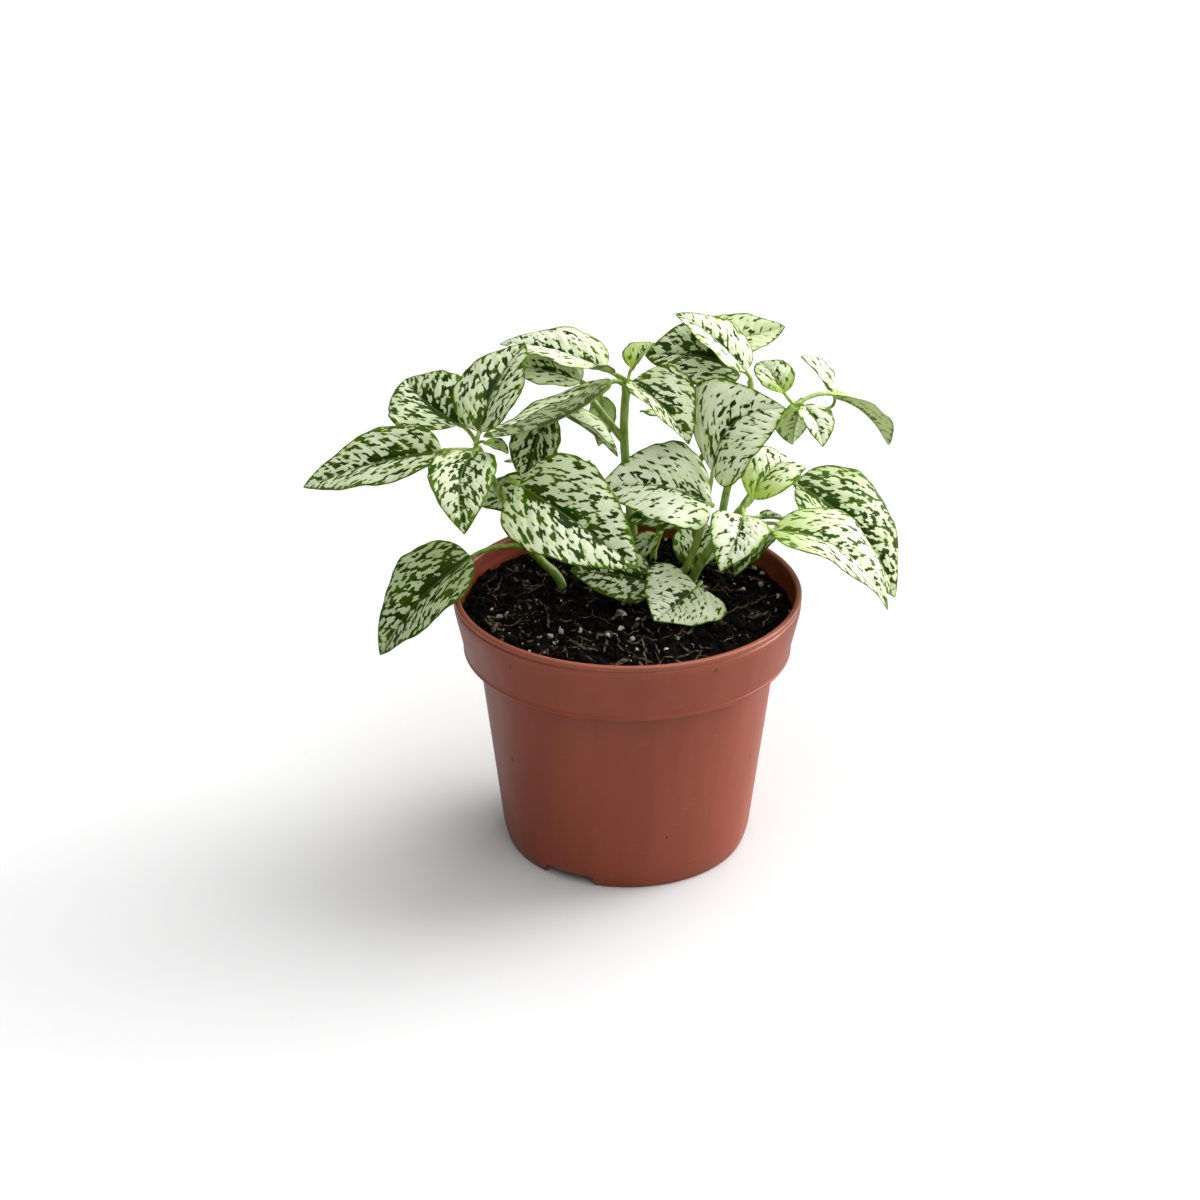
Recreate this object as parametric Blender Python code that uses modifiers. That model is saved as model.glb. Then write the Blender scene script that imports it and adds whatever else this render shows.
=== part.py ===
"""A potted polka dot plant: a plastic nursery pot, its soil, and the stems and leaves of the plant.

The frame is in metres with +Z up. The origin is on the standing plane, at the centre of the pot's
foot. The front of the plant faces -Y. Lengths in the plans below are millimetres, and MM turns
them into metres. Every leaf is one solid, its blade and petiole together, and every stem is one
tube that stands in a socket in the soil or beside the stem that it branches from.
"""

import math
from typing import NamedTuple

import bmesh
import bpy
import numpy as np
from mathutils import Matrix, Vector

MM = 0.001
GAP = 0.3
MERGE_DISTANCE = 0.00001

# Pot.
RIM_RADIUS = 52.5
POT_HEIGHT = 83.0
RIM_BAND = 4.0
LIP_WIDTH = 1.9
LIP_ROUNDING = 0.5
COLLAR_FOOT_RADIUS = 49.4
COLLAR_FOOT_HEIGHT = 64.0
BODY_TOP_RADIUS = 45.0
BODY_TOP_HEIGHT = 62.0
BODY_LOW_RADIUS = 38.2
BODY_LOW_HEIGHT = 5.0
FOOT_RADIUS = 37.0
WALL = 1.6
FLOOR_UNDERSIDE = 3.4
FOOT_RING_WIDTH = 1.7
BOSS_RADIUS = 14.0
FOOT_ROUNDING = 0.7
FLOOR_CORNER = 1.5
RIM_LOW = POT_HEIGHT - RIM_BAND
STEP_LOW = BODY_TOP_HEIGHT + WALL
STEP_HIGH = COLLAR_FOOT_HEIGHT + WALL
TURN_STEPS = 44
CYLINDER_SIDES = 16

NOTCH_COUNT = 3
NOTCH_FIRST_ANGLE = -118.5
NOTCH_WIDTH = 16.5
NOTCH_HEIGHT = 3.0
NOTCH_REACH = 8.0
DRAIN_COUNT = 6
DRAIN_CIRCLE_RADIUS = 25.0
DRAIN_RADIUS = 3.2

# Soil.
SOIL_CROWN = 79.0
SOIL_EDGE = 76.5
SOIL_RINGS = 5

STEM_PIECES = 3

# Leaves.
LEAF_THICKNESS = 0.7
PETIOLE_WIDTH = 1.6
PETIOLE_CLEARANCE = 0.8
PETIOLE_PULL = 0.45
PETIOLE_ROWS = 2
BLADE_ROWS = 7
BLADE_COLUMNS = 4
TIP_POWER = 0.85
TIP_WIDTH = 0.5

POT_COLOUR = (0.45, 0.13, 0.07, 1.0)
SOIL_COLOUR = (0.02, 0.014, 0.01, 1.0)
STEM_COLOUR = (0.16, 0.30, 0.05, 1.0)
LEAF_COLOUR = (0.55, 0.66, 0.40, 1.0)
PLASTIC_ROUGHNESS = 0.45
PEAT_ROUGHNESS = 0.95
SKIN_ROUGHNESS = 0.5


class Stem(NamedTuple):
    """A stem's radius and the points that its centre line runs through, from the foot up."""

    radius: float
    route: tuple


class Leaf(NamedTuple):
    """A leaf's place: the stem that bears it and how far up, then its blade.

    base and tip are the ends of the blade's midrib. roll turns the blade about its midrib, with 0
    for an upper side that faces up. arch and sweep bow the midrib up and sideways, as a share of
    its length. fold lifts both halves, in degrees, and roundness is the power of the outline at
    the base: a low one gives a broad, heart-like base.
    """

    stem: str
    height: float
    base: tuple
    tip: tuple
    width: float
    roll: float
    arch: float = 0.07
    sweep: float = 0.0
    fold: float = 12.0
    roundness: float = 0.5


STEMS = {
    "left_stem": Stem(
        1.4,
        (
            (-20, 10, 62), (-20, 10, 79), (-26, 12, 86), (-30, 10, 92),
            (-38, 6, 111), (-42, 3, 121), (-45, 1, 129),
        ),
    ),
    "middle_stem": Stem(
        1.5,
        ((3, 16, 62), (3, 16, 78), (1, 16, 100), (-1, 16, 122), (-1, 17, 135), (0, 18, 143)),
    ),
    "upper_left_stem": Stem(1.2, ((-3.4, 16.5, 127), (-8, 17, 133), (-12, 19, 138))),
    "right_stem": Stem(
        1.5,
        ((19, 10, 62), (19, 10, 78), (23, 6, 90), (27, 3, 98), (32, 0, 106), (34, -3, 111)),
    ),
    "front_stem": Stem(1.3, ((14, 7, 62), (14, 7, 78), (18, 5, 88), (21, 3, 98), (24, 3, 112))),
    "far_right_stem": Stem(
        1.2,
        ((28, 6, 100), (29, 11, 106), (31, 15, 113), (35, 17, 122), (44, 20, 128), (50, 23, 133)),
    ),
    "crown_stem": Stem(
        1.1,
        (
            (8, 30, 62), (8, 30, 79), (9, 31, 84), (15, 33, 100),
            (28, 26, 122), (36, 20, 135), (36.5, 19, 143),
        ),
    ),
    "back_stem": Stem(1.3, ((-9, 29, 62), (-9, 29, 78), (-10, 34, 94), (-12, 38, 108))),
}

LEAVES = {
    "left_leaf_outer": Leaf("left_stem", 0.97, (-55, -1, 128), (-97, 6, 113), 23, -28, 0.0, 0.05),
    "left_leaf_rear": Leaf("left_stem", 0.95, (-50, 12, 131), (-68, 38, 135), 27, -22, 0.03, -0.06),
    "left_leaf_upright": Leaf("left_stem", 1.0, (-44, 4, 132), (-31, 25, 152), 25, -7, 0.05, -0.04),
    "left_leaf_hanging": Leaf("left_stem", 0.98, (-45, -4, 129), (-47, -29, 114), 20, -6, 0.14, 0.1),
    "left_leaf_young": Leaf("left_stem", 1.0, (-42, -1, 131), (-35, -5, 129), 7, 0),
    "left_leaf_low": Leaf("left_stem", 0.45, (-47, 2, 92), (-75, -4, 62), 30, -20, 0.08, 0.01, 12, 0.42),
    "left_leaf_inner": Leaf("middle_stem", 0.45, (-26, 20, 106), (-46, 16, 103), 14, -35),
    "upper_left_leaf_long": Leaf(
        "middle_stem", 0.97, (-6, 12, 144), (-42, -11, 137), 26, 25, -0.08, 0.0, 25
    ),
    "upper_left_leaf_white": Leaf(
        "upper_left_stem", 1.0, (-14, 22, 141), (-38, 31, 142), 19, -14, 0.08, -0.02
    ),
    "upper_left_leaf_hanging": Leaf("upper_left_stem", 0.95, (-24, 16, 134), (-30, 11, 111), 17, -22, 0.09),
    "upper_left_leaf_folded": Leaf(
        "upper_left_stem", 0.9, (-18, 20, 131), (-3, 21, 117), 13, 3, 0.06, 0.04, 25
    ),
    "top_leaf_left": Leaf("middle_stem", 0.99, (-7, 22, 145), (-39, 37, 147), 23, -4),
    "top_leaf_bud": Leaf("middle_stem", 1.0, (-4, 16, 146), (-11, 15, 148), 5, 40),
    "top_leaf_young": Leaf("middle_stem", 1.0, (1, 20, 146), (8, 28, 151), 11, -8, 0.07, 0.0, 30),
    "middle_leaf_folded": Leaf("middle_stem", 0.98, (1, 12, 145), (18, 0, 130), 25, 5, 0.1, 0.0, 28, 0.4),
    "front_leaf_large": Leaf(
        "left_stem", 0.75, (-32, -9, 121), (3, -28, 103), 33, 40, 0.12, 0.02, 12, 0.38
    ),
    "front_leaf_wide": Leaf(
        "front_stem", 0.97, (24.5, -2, 111.5), (-9, -5, 117.5), 29, -38, 0.12, 0.05, 12, 0.42
    ),
    "front_leaf_low": Leaf("front_stem", 0.37, (7, 2, 84), (-17, -5, 91), 19, -45),
    "front_leaf_soil": Leaf("right_stem", 0.3, (21, -1, 84), (8, -20, 82), 28, -24, -0.03, 0.0, 12, 0.36),
    "inner_leaf_standing": Leaf("right_stem", 0.33, (20, 14, 83), (22, 30, 92), 15, 8, 0.1),
    "inner_leaf_curled": Leaf("middle_stem", 0.3, (9, 12, 95), (1, 9, 86), 9, -20, 0.1),
    "inner_leaf_tucked": Leaf("front_stem", 0.85, (19, 6, 103), (0, 5, 103), 12, -30, 0.1),
    "centre_leaf_large": Leaf("front_stem", 1.0, (25, 2, 120), (46, -1, 142), 33, 48, 0.1, -0.2, 12, 0.55),
    "crown_leaf_left": Leaf("crown_stem", 1.0, (34, 24, 144), (5, 28, 147), 26, -32, 0.07, 0.05),
    "crown_leaf_front": Leaf("crown_stem", 1.0, (35, 18, 146), (14, 29, 160), 20, -1),
    "crown_leaf_rear": Leaf("crown_stem", 0.93, (23, 40, 146), (48, 50, 148), 19, 22, -0.06, -0.04),
    "right_leaf_upright": Leaf("right_stem", 1.0, (37, -1, 113), (52, 22, 113), 19, 16, 0.22, -0.06),
    "right_leaf_hanging": Leaf("right_stem", 1.0, (34, -7, 110), (27, -28, 102), 18, -11, 0.15, -0.05),
    "right_leaf_front": Leaf("right_stem", 0.95, (43, -4, 104), (78, -8, 80), 28, 10, 0.13, -0.1),
    "right_leaf_outer": Leaf("right_stem", 0.9, (51, 19, 109), (83, 23, 69), 30, 40, 0.11, -0.03, 12, 0.42),
    "right_leaf_under": Leaf("right_stem", 0.8, (44, 5, 100), (32, -2, 88), 13, 0),
    "right_leaf_small": Leaf("right_stem", 0.93, (40, 6, 104), (49, 11, 100), 7, 0),
    "far_right_leaf_young": Leaf("far_right_stem", 1.0, (47, 26, 136), (40, 41, 140), 12, -10, 0.11),
    "far_right_leaf_hanging": Leaf("far_right_stem", 1.0, (53, 20, 134), (58, 10, 125), 12, -7, 0.16),
    "far_right_leaf_pale": Leaf("far_right_stem", 0.97, (62, 42, 131), (53, 46, 140), 16, 13, 0.05),
    "far_right_leaf_trailing": Leaf("far_right_stem", 1.0, (63, 34, 132), (81, 45, 111), 18, -4, 0.09),
    "far_right_leaf_round": Leaf("far_right_stem", 0.9, (53, 42, 125), (51, 47, 110), 15, 0, 0.07),
    "back_leaf_thin": Leaf("upper_left_stem", 1.0, (-8, 35, 131), (-9, 38, 113), 9, 40, 0.05),
    "back_leaf_left": Leaf("back_stem", 1.0, (-15, 43, 100), (-39, 54, 101), 20, 10),
    "back_leaf_middle": Leaf("back_stem", 0.9, (-10, 46, 95), (-6, 71, 82), 23, 5),
    "back_leaf_low_left": Leaf("back_stem", 0.7, (-20, 42, 92), (-44, 62, 82), 24, 0),
    "back_leaf_low_right": Leaf("crown_stem", 0.5, (9, 42, 98), (23, 64, 90), 20, 0),
    "back_leaf_right": Leaf("crown_stem", 0.65, (34, 36, 106), (58, 54, 92), 22, 0),
    "back_leaf_upper": Leaf("crown_stem", 0.75, (20, 41, 120), (6, 62, 114), 21, 0),
}


def smooth_curve(points, pieces):
    """Points on a Catmull-Rom curve through the given points, with that many pieces between two."""
    knots = np.array(points, float)
    padded = np.vstack([2 * knots[0] - knots[1], knots, 2 * knots[-1] - knots[-2]])
    steps = np.linspace(0, 1, pieces, endpoint=False)[:, None]
    spans = []
    for before, start, end, after in zip(padded, padded[1:], padded[2:], padded[3:]):
        linear = end - before
        square = 2 * before - 5 * start + 4 * end - after
        cube = 3 * start - before - 3 * end + after
        spans.append(start + 0.5 * (linear * steps + square * steps**2 + cube * steps**3))
    return np.vstack(spans + [knots[-1:]])


def point_along(points, share):
    """The point at that share of a polyline's length."""
    lengths = np.linalg.norm(np.diff(points, axis=0), axis=1)
    reached = np.concatenate([[0], np.cumsum(lengths)])
    return np.array([np.interp(share * reached[-1], reached, points[:, axis]) for axis in range(3)])


def unit(vector):
    """The vector at length 1."""
    return vector / np.linalg.norm(vector)


def clear_scene():
    """Removes every object that the scene starts with."""
    for obj in list(bpy.data.objects):
        bpy.data.objects.remove(obj, do_unlink=True)


def make_collection(name):
    """A new collection in the scene."""
    collection = bpy.data.collections.new(name)
    bpy.context.scene.collection.children.link(collection)
    return collection


def make_material(name, colour, roughness):
    """A Principled material of one colour."""
    material = bpy.data.materials.new(name)
    material.use_nodes = True
    shader = material.node_tree.nodes["Principled BSDF"]
    shader.inputs["Base Color"].default_value = colour
    shader.inputs["Roughness"].default_value = roughness
    shader.inputs["Metallic"].default_value = 0.0
    return material


def link(name, data, collection, material=None):
    """A new object with that data, in the collection."""
    obj = bpy.data.objects.new(name, data)
    if material:
        data.materials.append(material)
    collection.objects.link(obj)
    return obj


def turned(name, profile, collection, material):
    """A solid of revolution about Z.

    The profile is (radius, height) pairs from the axis to the axis, so that it runs down the
    outer side of the solid.
    """
    mesh = bpy.data.meshes.new(name)
    outline = bmesh.new()
    corners = [outline.verts.new((radius * MM, 0, height * MM)) for radius, height in profile]
    for first, second in zip(corners, corners[1:]):
        outline.edges.new((first, second))
    outline.to_mesh(mesh)
    outline.free()
    obj = link(name, mesh, collection, material)
    screw = obj.modifiers.new("Turn", "SCREW")
    screw.steps = screw.render_steps = TURN_STEPS
    screw.use_merge_vertices = True
    screw.merge_threshold = MERGE_DISTANCE
    screw.use_smooth_shade = True
    return obj


def cut(obj, tool_name, shape, cutters):
    """Takes a bmesh shape away from the object, as a hidden cutter with a Boolean."""
    mesh = bpy.data.meshes.new(tool_name)
    shape.to_mesh(mesh)
    shape.free()
    tool = link(tool_name, mesh, cutters)
    tool.hide_render = True
    tool.display_type = "WIRE"
    modifier = obj.modifiers.new(tool_name, "BOOLEAN")
    modifier.operation = "DIFFERENCE"
    modifier.solver = "EXACT"
    modifier.object = tool


def upright_cylinder(radius, low, high, x, y):
    """A bmesh cylinder that stands at x, y from one height to another."""
    shape = bmesh.new()
    bmesh.ops.create_cone(
        shape,
        cap_ends=True,
        segments=CYLINDER_SIDES,
        radius1=radius * MM,
        radius2=radius * MM,
        depth=(high - low) * MM,
    )
    bmesh.ops.translate(shape, verts=shape.verts, vec=Vector((x, y, (low + high) / 2)) * MM)
    return shape


def notch_block(angle):
    """A bmesh block that crosses the foot ring at that angle and is as high as a notch."""
    shape = bmesh.new()
    bmesh.ops.create_cube(shape, size=MM)
    bmesh.ops.scale(shape, verts=shape.verts, vec=(NOTCH_REACH, NOTCH_WIDTH, 2 * NOTCH_HEIGHT))
    bmesh.ops.translate(shape, verts=shape.verts, vec=(FOOT_RADIUS * MM, 0, 0))
    turn = Matrix.Rotation(angle, 3, "Z")
    bmesh.ops.rotate(shape, verts=shape.verts, cent=(0, 0, 0), matrix=turn)
    return shape


def inner_radius(height):
    """The radius of the pot's inner wall at that height."""
    heights = (BODY_LOW_HEIGHT, STEP_LOW, STEP_HIGH, RIM_LOW)
    radii = (BODY_LOW_RADIUS, BODY_TOP_RADIUS, COLLAR_FOOT_RADIUS, RIM_RADIUS - LIP_WIDTH + WALL)
    return float(np.interp(height, heights, radii)) - WALL


def make_pot(collection, cutters):
    """The pot: a collar that ends in a step, a tapered body, a foot ring with notches, and a floor with drain holes."""
    floor_top = FLOOR_UNDERSIDE + WALL
    corner = floor_top + FLOOR_CORNER
    ring_inner = FOOT_RADIUS - FOOT_RING_WIDTH
    inside = [
        (0, WALL),
        (BOSS_RADIUS - WALL, WALL),
        (BOSS_RADIUS, floor_top),
        (inner_radius(floor_top) - FLOOR_CORNER, floor_top),
    ]
    wall_heights = (corner, STEP_LOW, STEP_HIGH, RIM_LOW, POT_HEIGHT)
    inside += [(inner_radius(height), height) for height in wall_heights]
    outside = [
        (RIM_RADIUS - LIP_ROUNDING, POT_HEIGHT),
        (RIM_RADIUS, POT_HEIGHT - LIP_ROUNDING),
        (RIM_RADIUS, RIM_LOW),
        (COLLAR_FOOT_RADIUS, COLLAR_FOOT_HEIGHT),
        (BODY_TOP_RADIUS, BODY_TOP_HEIGHT),
        (BODY_LOW_RADIUS, BODY_LOW_HEIGHT),
        (FOOT_RADIUS, FOOT_ROUNDING),
        (FOOT_RADIUS - FOOT_ROUNDING, 0),
        (ring_inner, 0),
        (ring_inner, FLOOR_UNDERSIDE),
        (BOSS_RADIUS + GAP, FLOOR_UNDERSIDE),
        (BOSS_RADIUS, 0),
        (0, 0),
    ]
    plastic = make_material("pot_plastic", POT_COLOUR, PLASTIC_ROUGHNESS)
    pot = turned("pot", inside + outside, collection, plastic)
    for number in range(NOTCH_COUNT):
        angle = math.radians(NOTCH_FIRST_ANGLE + number * 360 / NOTCH_COUNT)
        cut(pot, f"notch_cutter_{number + 1}", notch_block(angle), cutters)
    for number in range(DRAIN_COUNT):
        angle = 2 * math.pi * (number + 0.5) / DRAIN_COUNT
        x = DRAIN_CIRCLE_RADIUS * math.cos(angle)
        y = DRAIN_CIRCLE_RADIUS * math.sin(angle)
        hole = upright_cylinder(DRAIN_RADIUS, WALL, 2 * floor_top, x, y)
        cut(pot, f"drain_cutter_{number + 1}", hole, cutters)
    return pot


def soil_height(radius):
    """The height of the soil's top, which crowns gently in the middle."""
    share = radius / inner_radius(SOIL_EDGE)
    return SOIL_CROWN + (SOIL_EDGE - SOIL_CROWN) * share**2


def make_soil(collection, cutters):
    """The soil: it fills the pot with a gap all round, and has a socket for each stem."""
    low = FLOOR_UNDERSIDE + WALL + GAP
    edge = inner_radius(SOIL_EDGE) - GAP
    top = [(edge * ring / SOIL_RINGS, soil_height(edge * ring / SOIL_RINGS)) for ring in range(SOIL_RINGS)]
    side = [
        (edge, SOIL_EDGE),
        (inner_radius(STEP_HIGH) - GAP, STEP_HIGH + GAP),
        (inner_radius(STEP_LOW) - GAP, STEP_LOW + GAP),
        (inner_radius(low + FLOOR_CORNER) - GAP, low + FLOOR_CORNER),
        (inner_radius(low) - GAP - FLOOR_CORNER, low),
        (0, low),
    ]
    soil = turned("soil", top + side, collection, make_material("peat", SOIL_COLOUR, PEAT_ROUGHNESS))
    for name, stem in STEMS.items():
        x, y, height = stem.route[0]
        if height < SOIL_EDGE:
            hole = upright_cylinder(stem.radius + 2 * GAP, height - GAP, POT_HEIGHT, x, y)
            cut(soil, f"{name}_socket_cutter", hole, cutters)
    return soil


def make_stem(name, stem, collection, material):
    """A stem: a tube along the smooth curve through its route."""
    data = bpy.data.curves.new(name, "CURVE")
    data.dimensions = "3D"
    data.bevel_depth = stem.radius * MM
    data.bevel_resolution = 2
    data.use_fill_caps = True
    points = smooth_curve(stem.route, STEM_PIECES)
    spline = data.splines.new("POLY")
    spline.points.add(len(points) - 1)
    for point, place in zip(spline.points, points):
        point.co = (*(place * MM), 1)
    return link(name, data, collection, material)


def outline_share(along, roundness):
    """The blade's half width at a place along the midrib, as a share of its widest.

    It is along^roundness * (1 - along)^TIP_POWER, scaled so that its highest value is 1.
    """
    widest = roundness / (roundness + TIP_POWER)
    highest = widest**roundness * (1 - widest) ** TIP_POWER
    return along**roundness * (1 - along) ** TIP_POWER / highest


def leaf_axes(leaf):
    """The blade's length and its directions along, up and to the right."""
    base, tip = np.array(leaf.base, float), np.array(leaf.tip, float)
    length = np.linalg.norm(tip - base)
    along = (tip - base) / length
    level_up = unit(np.array((0, 0, 1)) - along[2] * along)
    level_right = np.cross(along, level_up)
    roll = math.radians(leaf.roll)
    up = math.cos(roll) * level_up + math.sin(roll) * level_right
    return length, along, up, np.cross(along, up)


def blade_rows(leaf):
    """The blade's rows of points: (along, across, xyz).

    The midrib bows by 4 * t * (1 - t) of arch and sweep, and each half rises by the fold angle.
    """
    length, along, up, right = leaf_axes(leaf)
    places = 0.5 - 0.5 * np.cos(np.linspace(0, math.pi, BLADE_ROWS + 1))[:, None]
    across = np.linspace(-1, 1, BLADE_COLUMNS + 1)[None, :]
    bow = 4 * places * (1 - places)
    base = np.array(leaf.base, float)
    midrib = base + length * (places * along + bow * (leaf.arch * up + leaf.sweep * right))
    half = leaf.width / 2 * outline_share(places, leaf.roundness)
    half[0], half[-1] = PETIOLE_WIDTH / 2, TIP_WIDTH / 2
    fold = math.radians(leaf.fold)
    sideways = (across * half * math.cos(fold))[..., None] * right
    upwards = (abs(across) * half * math.sin(fold))[..., None] * up
    return midrib[:, None, :] + sideways + upwards


def petiole_rows(leaf):
    """The petiole's rows of points, from beside the stem to just before the blade.

    Its centre line is a quadratic curve from the stem to the blade's base, which it meets along
    the blade's first direction.
    """
    length, along, up, right = leaf_axes(leaf)
    stem = STEMS[leaf.stem]
    foot = point_along(smooth_curve(stem.route, STEM_PIECES), leaf.height)
    base = np.array(leaf.base, float)
    start = unit(along + 4 * (leaf.arch * up + leaf.sweep * right))
    middle = base - start * np.linalg.norm(base - foot) * PETIOLE_PULL
    clear = (stem.radius + PETIOLE_CLEARANCE) / np.linalg.norm(base - foot)
    shares = np.linspace(clear, 1, PETIOLE_ROWS + 1)[:-1, None]
    centre = (1 - shares) ** 2 * foot + 2 * shares * (1 - shares) * middle + shares**2 * base
    rows = []
    side = right
    for place in range(PETIOLE_ROWS - 1, -1, -1):
        ahead = centre[place + 1] if place + 1 < PETIOLE_ROWS else base
        heading = unit(ahead - centre[place])
        side = unit(side - side.dot(heading) * heading)
        across = np.linspace(-1, 1, BLADE_COLUMNS + 1)[:, None] * PETIOLE_WIDTH / 2
        rows.insert(0, centre[place] + across * side)
    return np.array(rows)


def make_leaf(name, leaf, collection, material):
    """A leaf: a grid bent to the petiole's and the blade's rows, with Solidify for its thickness."""
    rows = np.concatenate([petiole_rows(leaf), blade_rows(leaf)])
    last_row, last_column = rows.shape[0] - 1, rows.shape[1] - 1
    shape = bmesh.new()
    bmesh.ops.create_grid(shape, x_segments=last_row, y_segments=last_column, size=0.5)
    for vertex in shape.verts:
        row = round((vertex.co.x + 0.5) * last_row)
        column = round((0.5 - vertex.co.y) * last_column)
        vertex.co = Vector(rows[row, column]) * MM
    mesh = bpy.data.meshes.new(name)
    shape.to_mesh(mesh)
    shape.free()
    mesh.shade_smooth()
    obj = link(name, mesh, collection, material)
    shell = obj.modifiers.new("Thickness", "SOLIDIFY")
    shell.thickness = LEAF_THICKNESS * MM
    shell.offset = 0
    return obj


def main():
    """Builds the plant in its pot."""
    clear_scene()
    parts = make_collection("potted_polka_dot_plant")
    cutters = make_collection("cutters")
    make_pot(parts, cutters)
    make_soil(parts, cutters)
    stem_skin = make_material("stem_skin", STEM_COLOUR, SKIN_ROUGHNESS)
    for name, stem in STEMS.items():
        make_stem(name, stem, parts, stem_skin)
    blade_skin = make_material("leaf_blade", LEAF_COLOUR, SKIN_ROUGHNESS)
    for name, leaf in LEAVES.items():
        make_leaf(name, leaf, parts, blade_skin)


main()
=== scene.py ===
"""The looks of a potted polka dot plant: its nursery pot, its soil, and every stem and leaf.

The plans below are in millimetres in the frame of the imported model: +Z up, the origin at the
centre of the pot's foot, the front of the plant towards -Y. Each piece is a surface worked out on
a grid of two parameters, stands for the plain solid of the same name, and rides on the one body.
"""

import logging
import math
from dataclasses import dataclass, field
from enum import Enum
from typing import Any

import bpy
import numpy as np
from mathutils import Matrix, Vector


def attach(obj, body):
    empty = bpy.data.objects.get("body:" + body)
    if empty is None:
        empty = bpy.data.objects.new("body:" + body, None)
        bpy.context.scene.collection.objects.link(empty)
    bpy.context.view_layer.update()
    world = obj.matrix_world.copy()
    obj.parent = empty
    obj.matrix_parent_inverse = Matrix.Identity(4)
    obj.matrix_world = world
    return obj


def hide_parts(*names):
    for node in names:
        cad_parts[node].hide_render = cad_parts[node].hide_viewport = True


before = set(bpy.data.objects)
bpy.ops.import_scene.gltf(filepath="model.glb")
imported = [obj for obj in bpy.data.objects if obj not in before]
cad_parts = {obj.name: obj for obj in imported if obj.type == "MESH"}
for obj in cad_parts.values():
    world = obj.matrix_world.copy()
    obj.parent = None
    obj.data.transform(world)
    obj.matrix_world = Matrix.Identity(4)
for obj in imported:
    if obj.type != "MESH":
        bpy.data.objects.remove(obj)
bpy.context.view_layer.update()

Array = np.ndarray
Colour = tuple[float, float, float, float]
Point = tuple[float, float, float]
Pair = tuple[float, float]
Material = bpy.types.Material
Node = bpy.types.Node
Object = bpy.types.Object
Socket = bpy.types.NodeSocket
Tree = bpy.types.NodeTree

MM = 0.001
AXIS_GAP = 0.05
BODY = "root"
log = logging.getLogger("plant")


# Shapes on a grid.


def unit(vectors: Array) -> Array:
    """The vectors at length 1.

    Args:
        vectors: an array whose last axis holds a vector's parts.

    Returns:
        An array of the same shape.
    """
    return vectors / np.maximum(np.linalg.norm(vectors, axis=-1, keepdims=True), 1e-12)


def smoothstep(values: Array, low: float, high: float) -> Array:
    """A smooth rise from 0 at low to 1 at high, by 3x^2 - 2x^3."""
    share = np.clip((values - low) / (high - low), 0, 1)
    return share * share * (3 - 2 * share)


def smooth_curve(points: Any, pieces: int) -> Array:
    """A Catmull-Rom curve through the given points.

    Each stretch is a cubic in its own parameter, with the slope at a point set by the points on
    its two sides.

    Args:
        points: the points, in order.
        pieces: how many steps lie between two of them.

    Returns:
        The curve's points, one row each.
    """
    knots = np.array(points, float)
    padded = np.vstack([2 * knots[0] - knots[1], knots, 2 * knots[-1] - knots[-2]])
    before, start = padded[:-3, None], padded[1:-2, None]
    end, after = padded[2:-1, None], padded[3:, None]
    step = np.linspace(0, 1, pieces, endpoint=False)[None, :, None]
    linear = end - before
    square = 2 * before - 5 * start + 4 * end - after
    cube = 3 * start - before - 3 * end + after
    curve = start + 0.5 * (linear * step + square * step**2 + cube * step**3)
    return np.vstack([curve.reshape(-1, 3), knots[-1:]])


def travelled(points: Array) -> Array:
    """The way along a polyline to each of its points."""
    return np.concatenate([[0], np.cumsum(np.linalg.norm(np.diff(points, axis=0), axis=1))])


def along(points: Array, share: float) -> Array:
    """The point at that share of a polyline's length."""
    way = travelled(points)
    return np.array([np.interp(share * way[-1], way, points[:, axis]) for axis in range(3)])


def grid_faces(rows: int, columns: int, wrap: bool = False) -> Array:
    """The four-sided faces of a grid of points in row order.

    Args:
        rows: how many rows of points there are.
        columns: how many points a row has.
        wrap: whether the last column joins the first.

    Returns:
        One row of four point numbers for each face.
    """
    index = np.arange(rows * columns).reshape(rows, columns)
    if wrap:
        index = np.hstack([index, index[:, :1]])
    corners = index[:-1, :-1], index[:-1, 1:], index[1:, 1:], index[1:, :-1]
    return np.stack(corners, axis=-1).reshape(-1, 4)


def lattice_noise(x: Array, y: Array, cell: float, seed: int) -> Array:
    """Smooth random heights between -1 and 1.

    Random values stand on a square lattice, and each point takes the four round it, blended by
    a smooth step along both sides of its square.

    Args:
        x: first coordinates.
        y: second coordinates, of the same shape.
        cell: the lattice's spacing.
        seed: picks the random values.

    Returns:
        The heights, of the same shape.
    """
    size = 256
    table = np.random.default_rng(seed).uniform(-1, 1, (size, size))
    u, v = x / cell, y / cell
    column, row = np.floor(u).astype(int), np.floor(v).astype(int)
    s, t = smoothstep(u - column, 0, 1), smoothstep(v - row, 0, 1)
    left, right = column % size, (column + 1) % size
    low, high = row % size, (row + 1) % size
    below = table[low, left] * (1 - s) + table[low, right] * s
    return below * (1 - t) + (table[high, left] * (1 - s) + table[high, right] * s) * t


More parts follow.
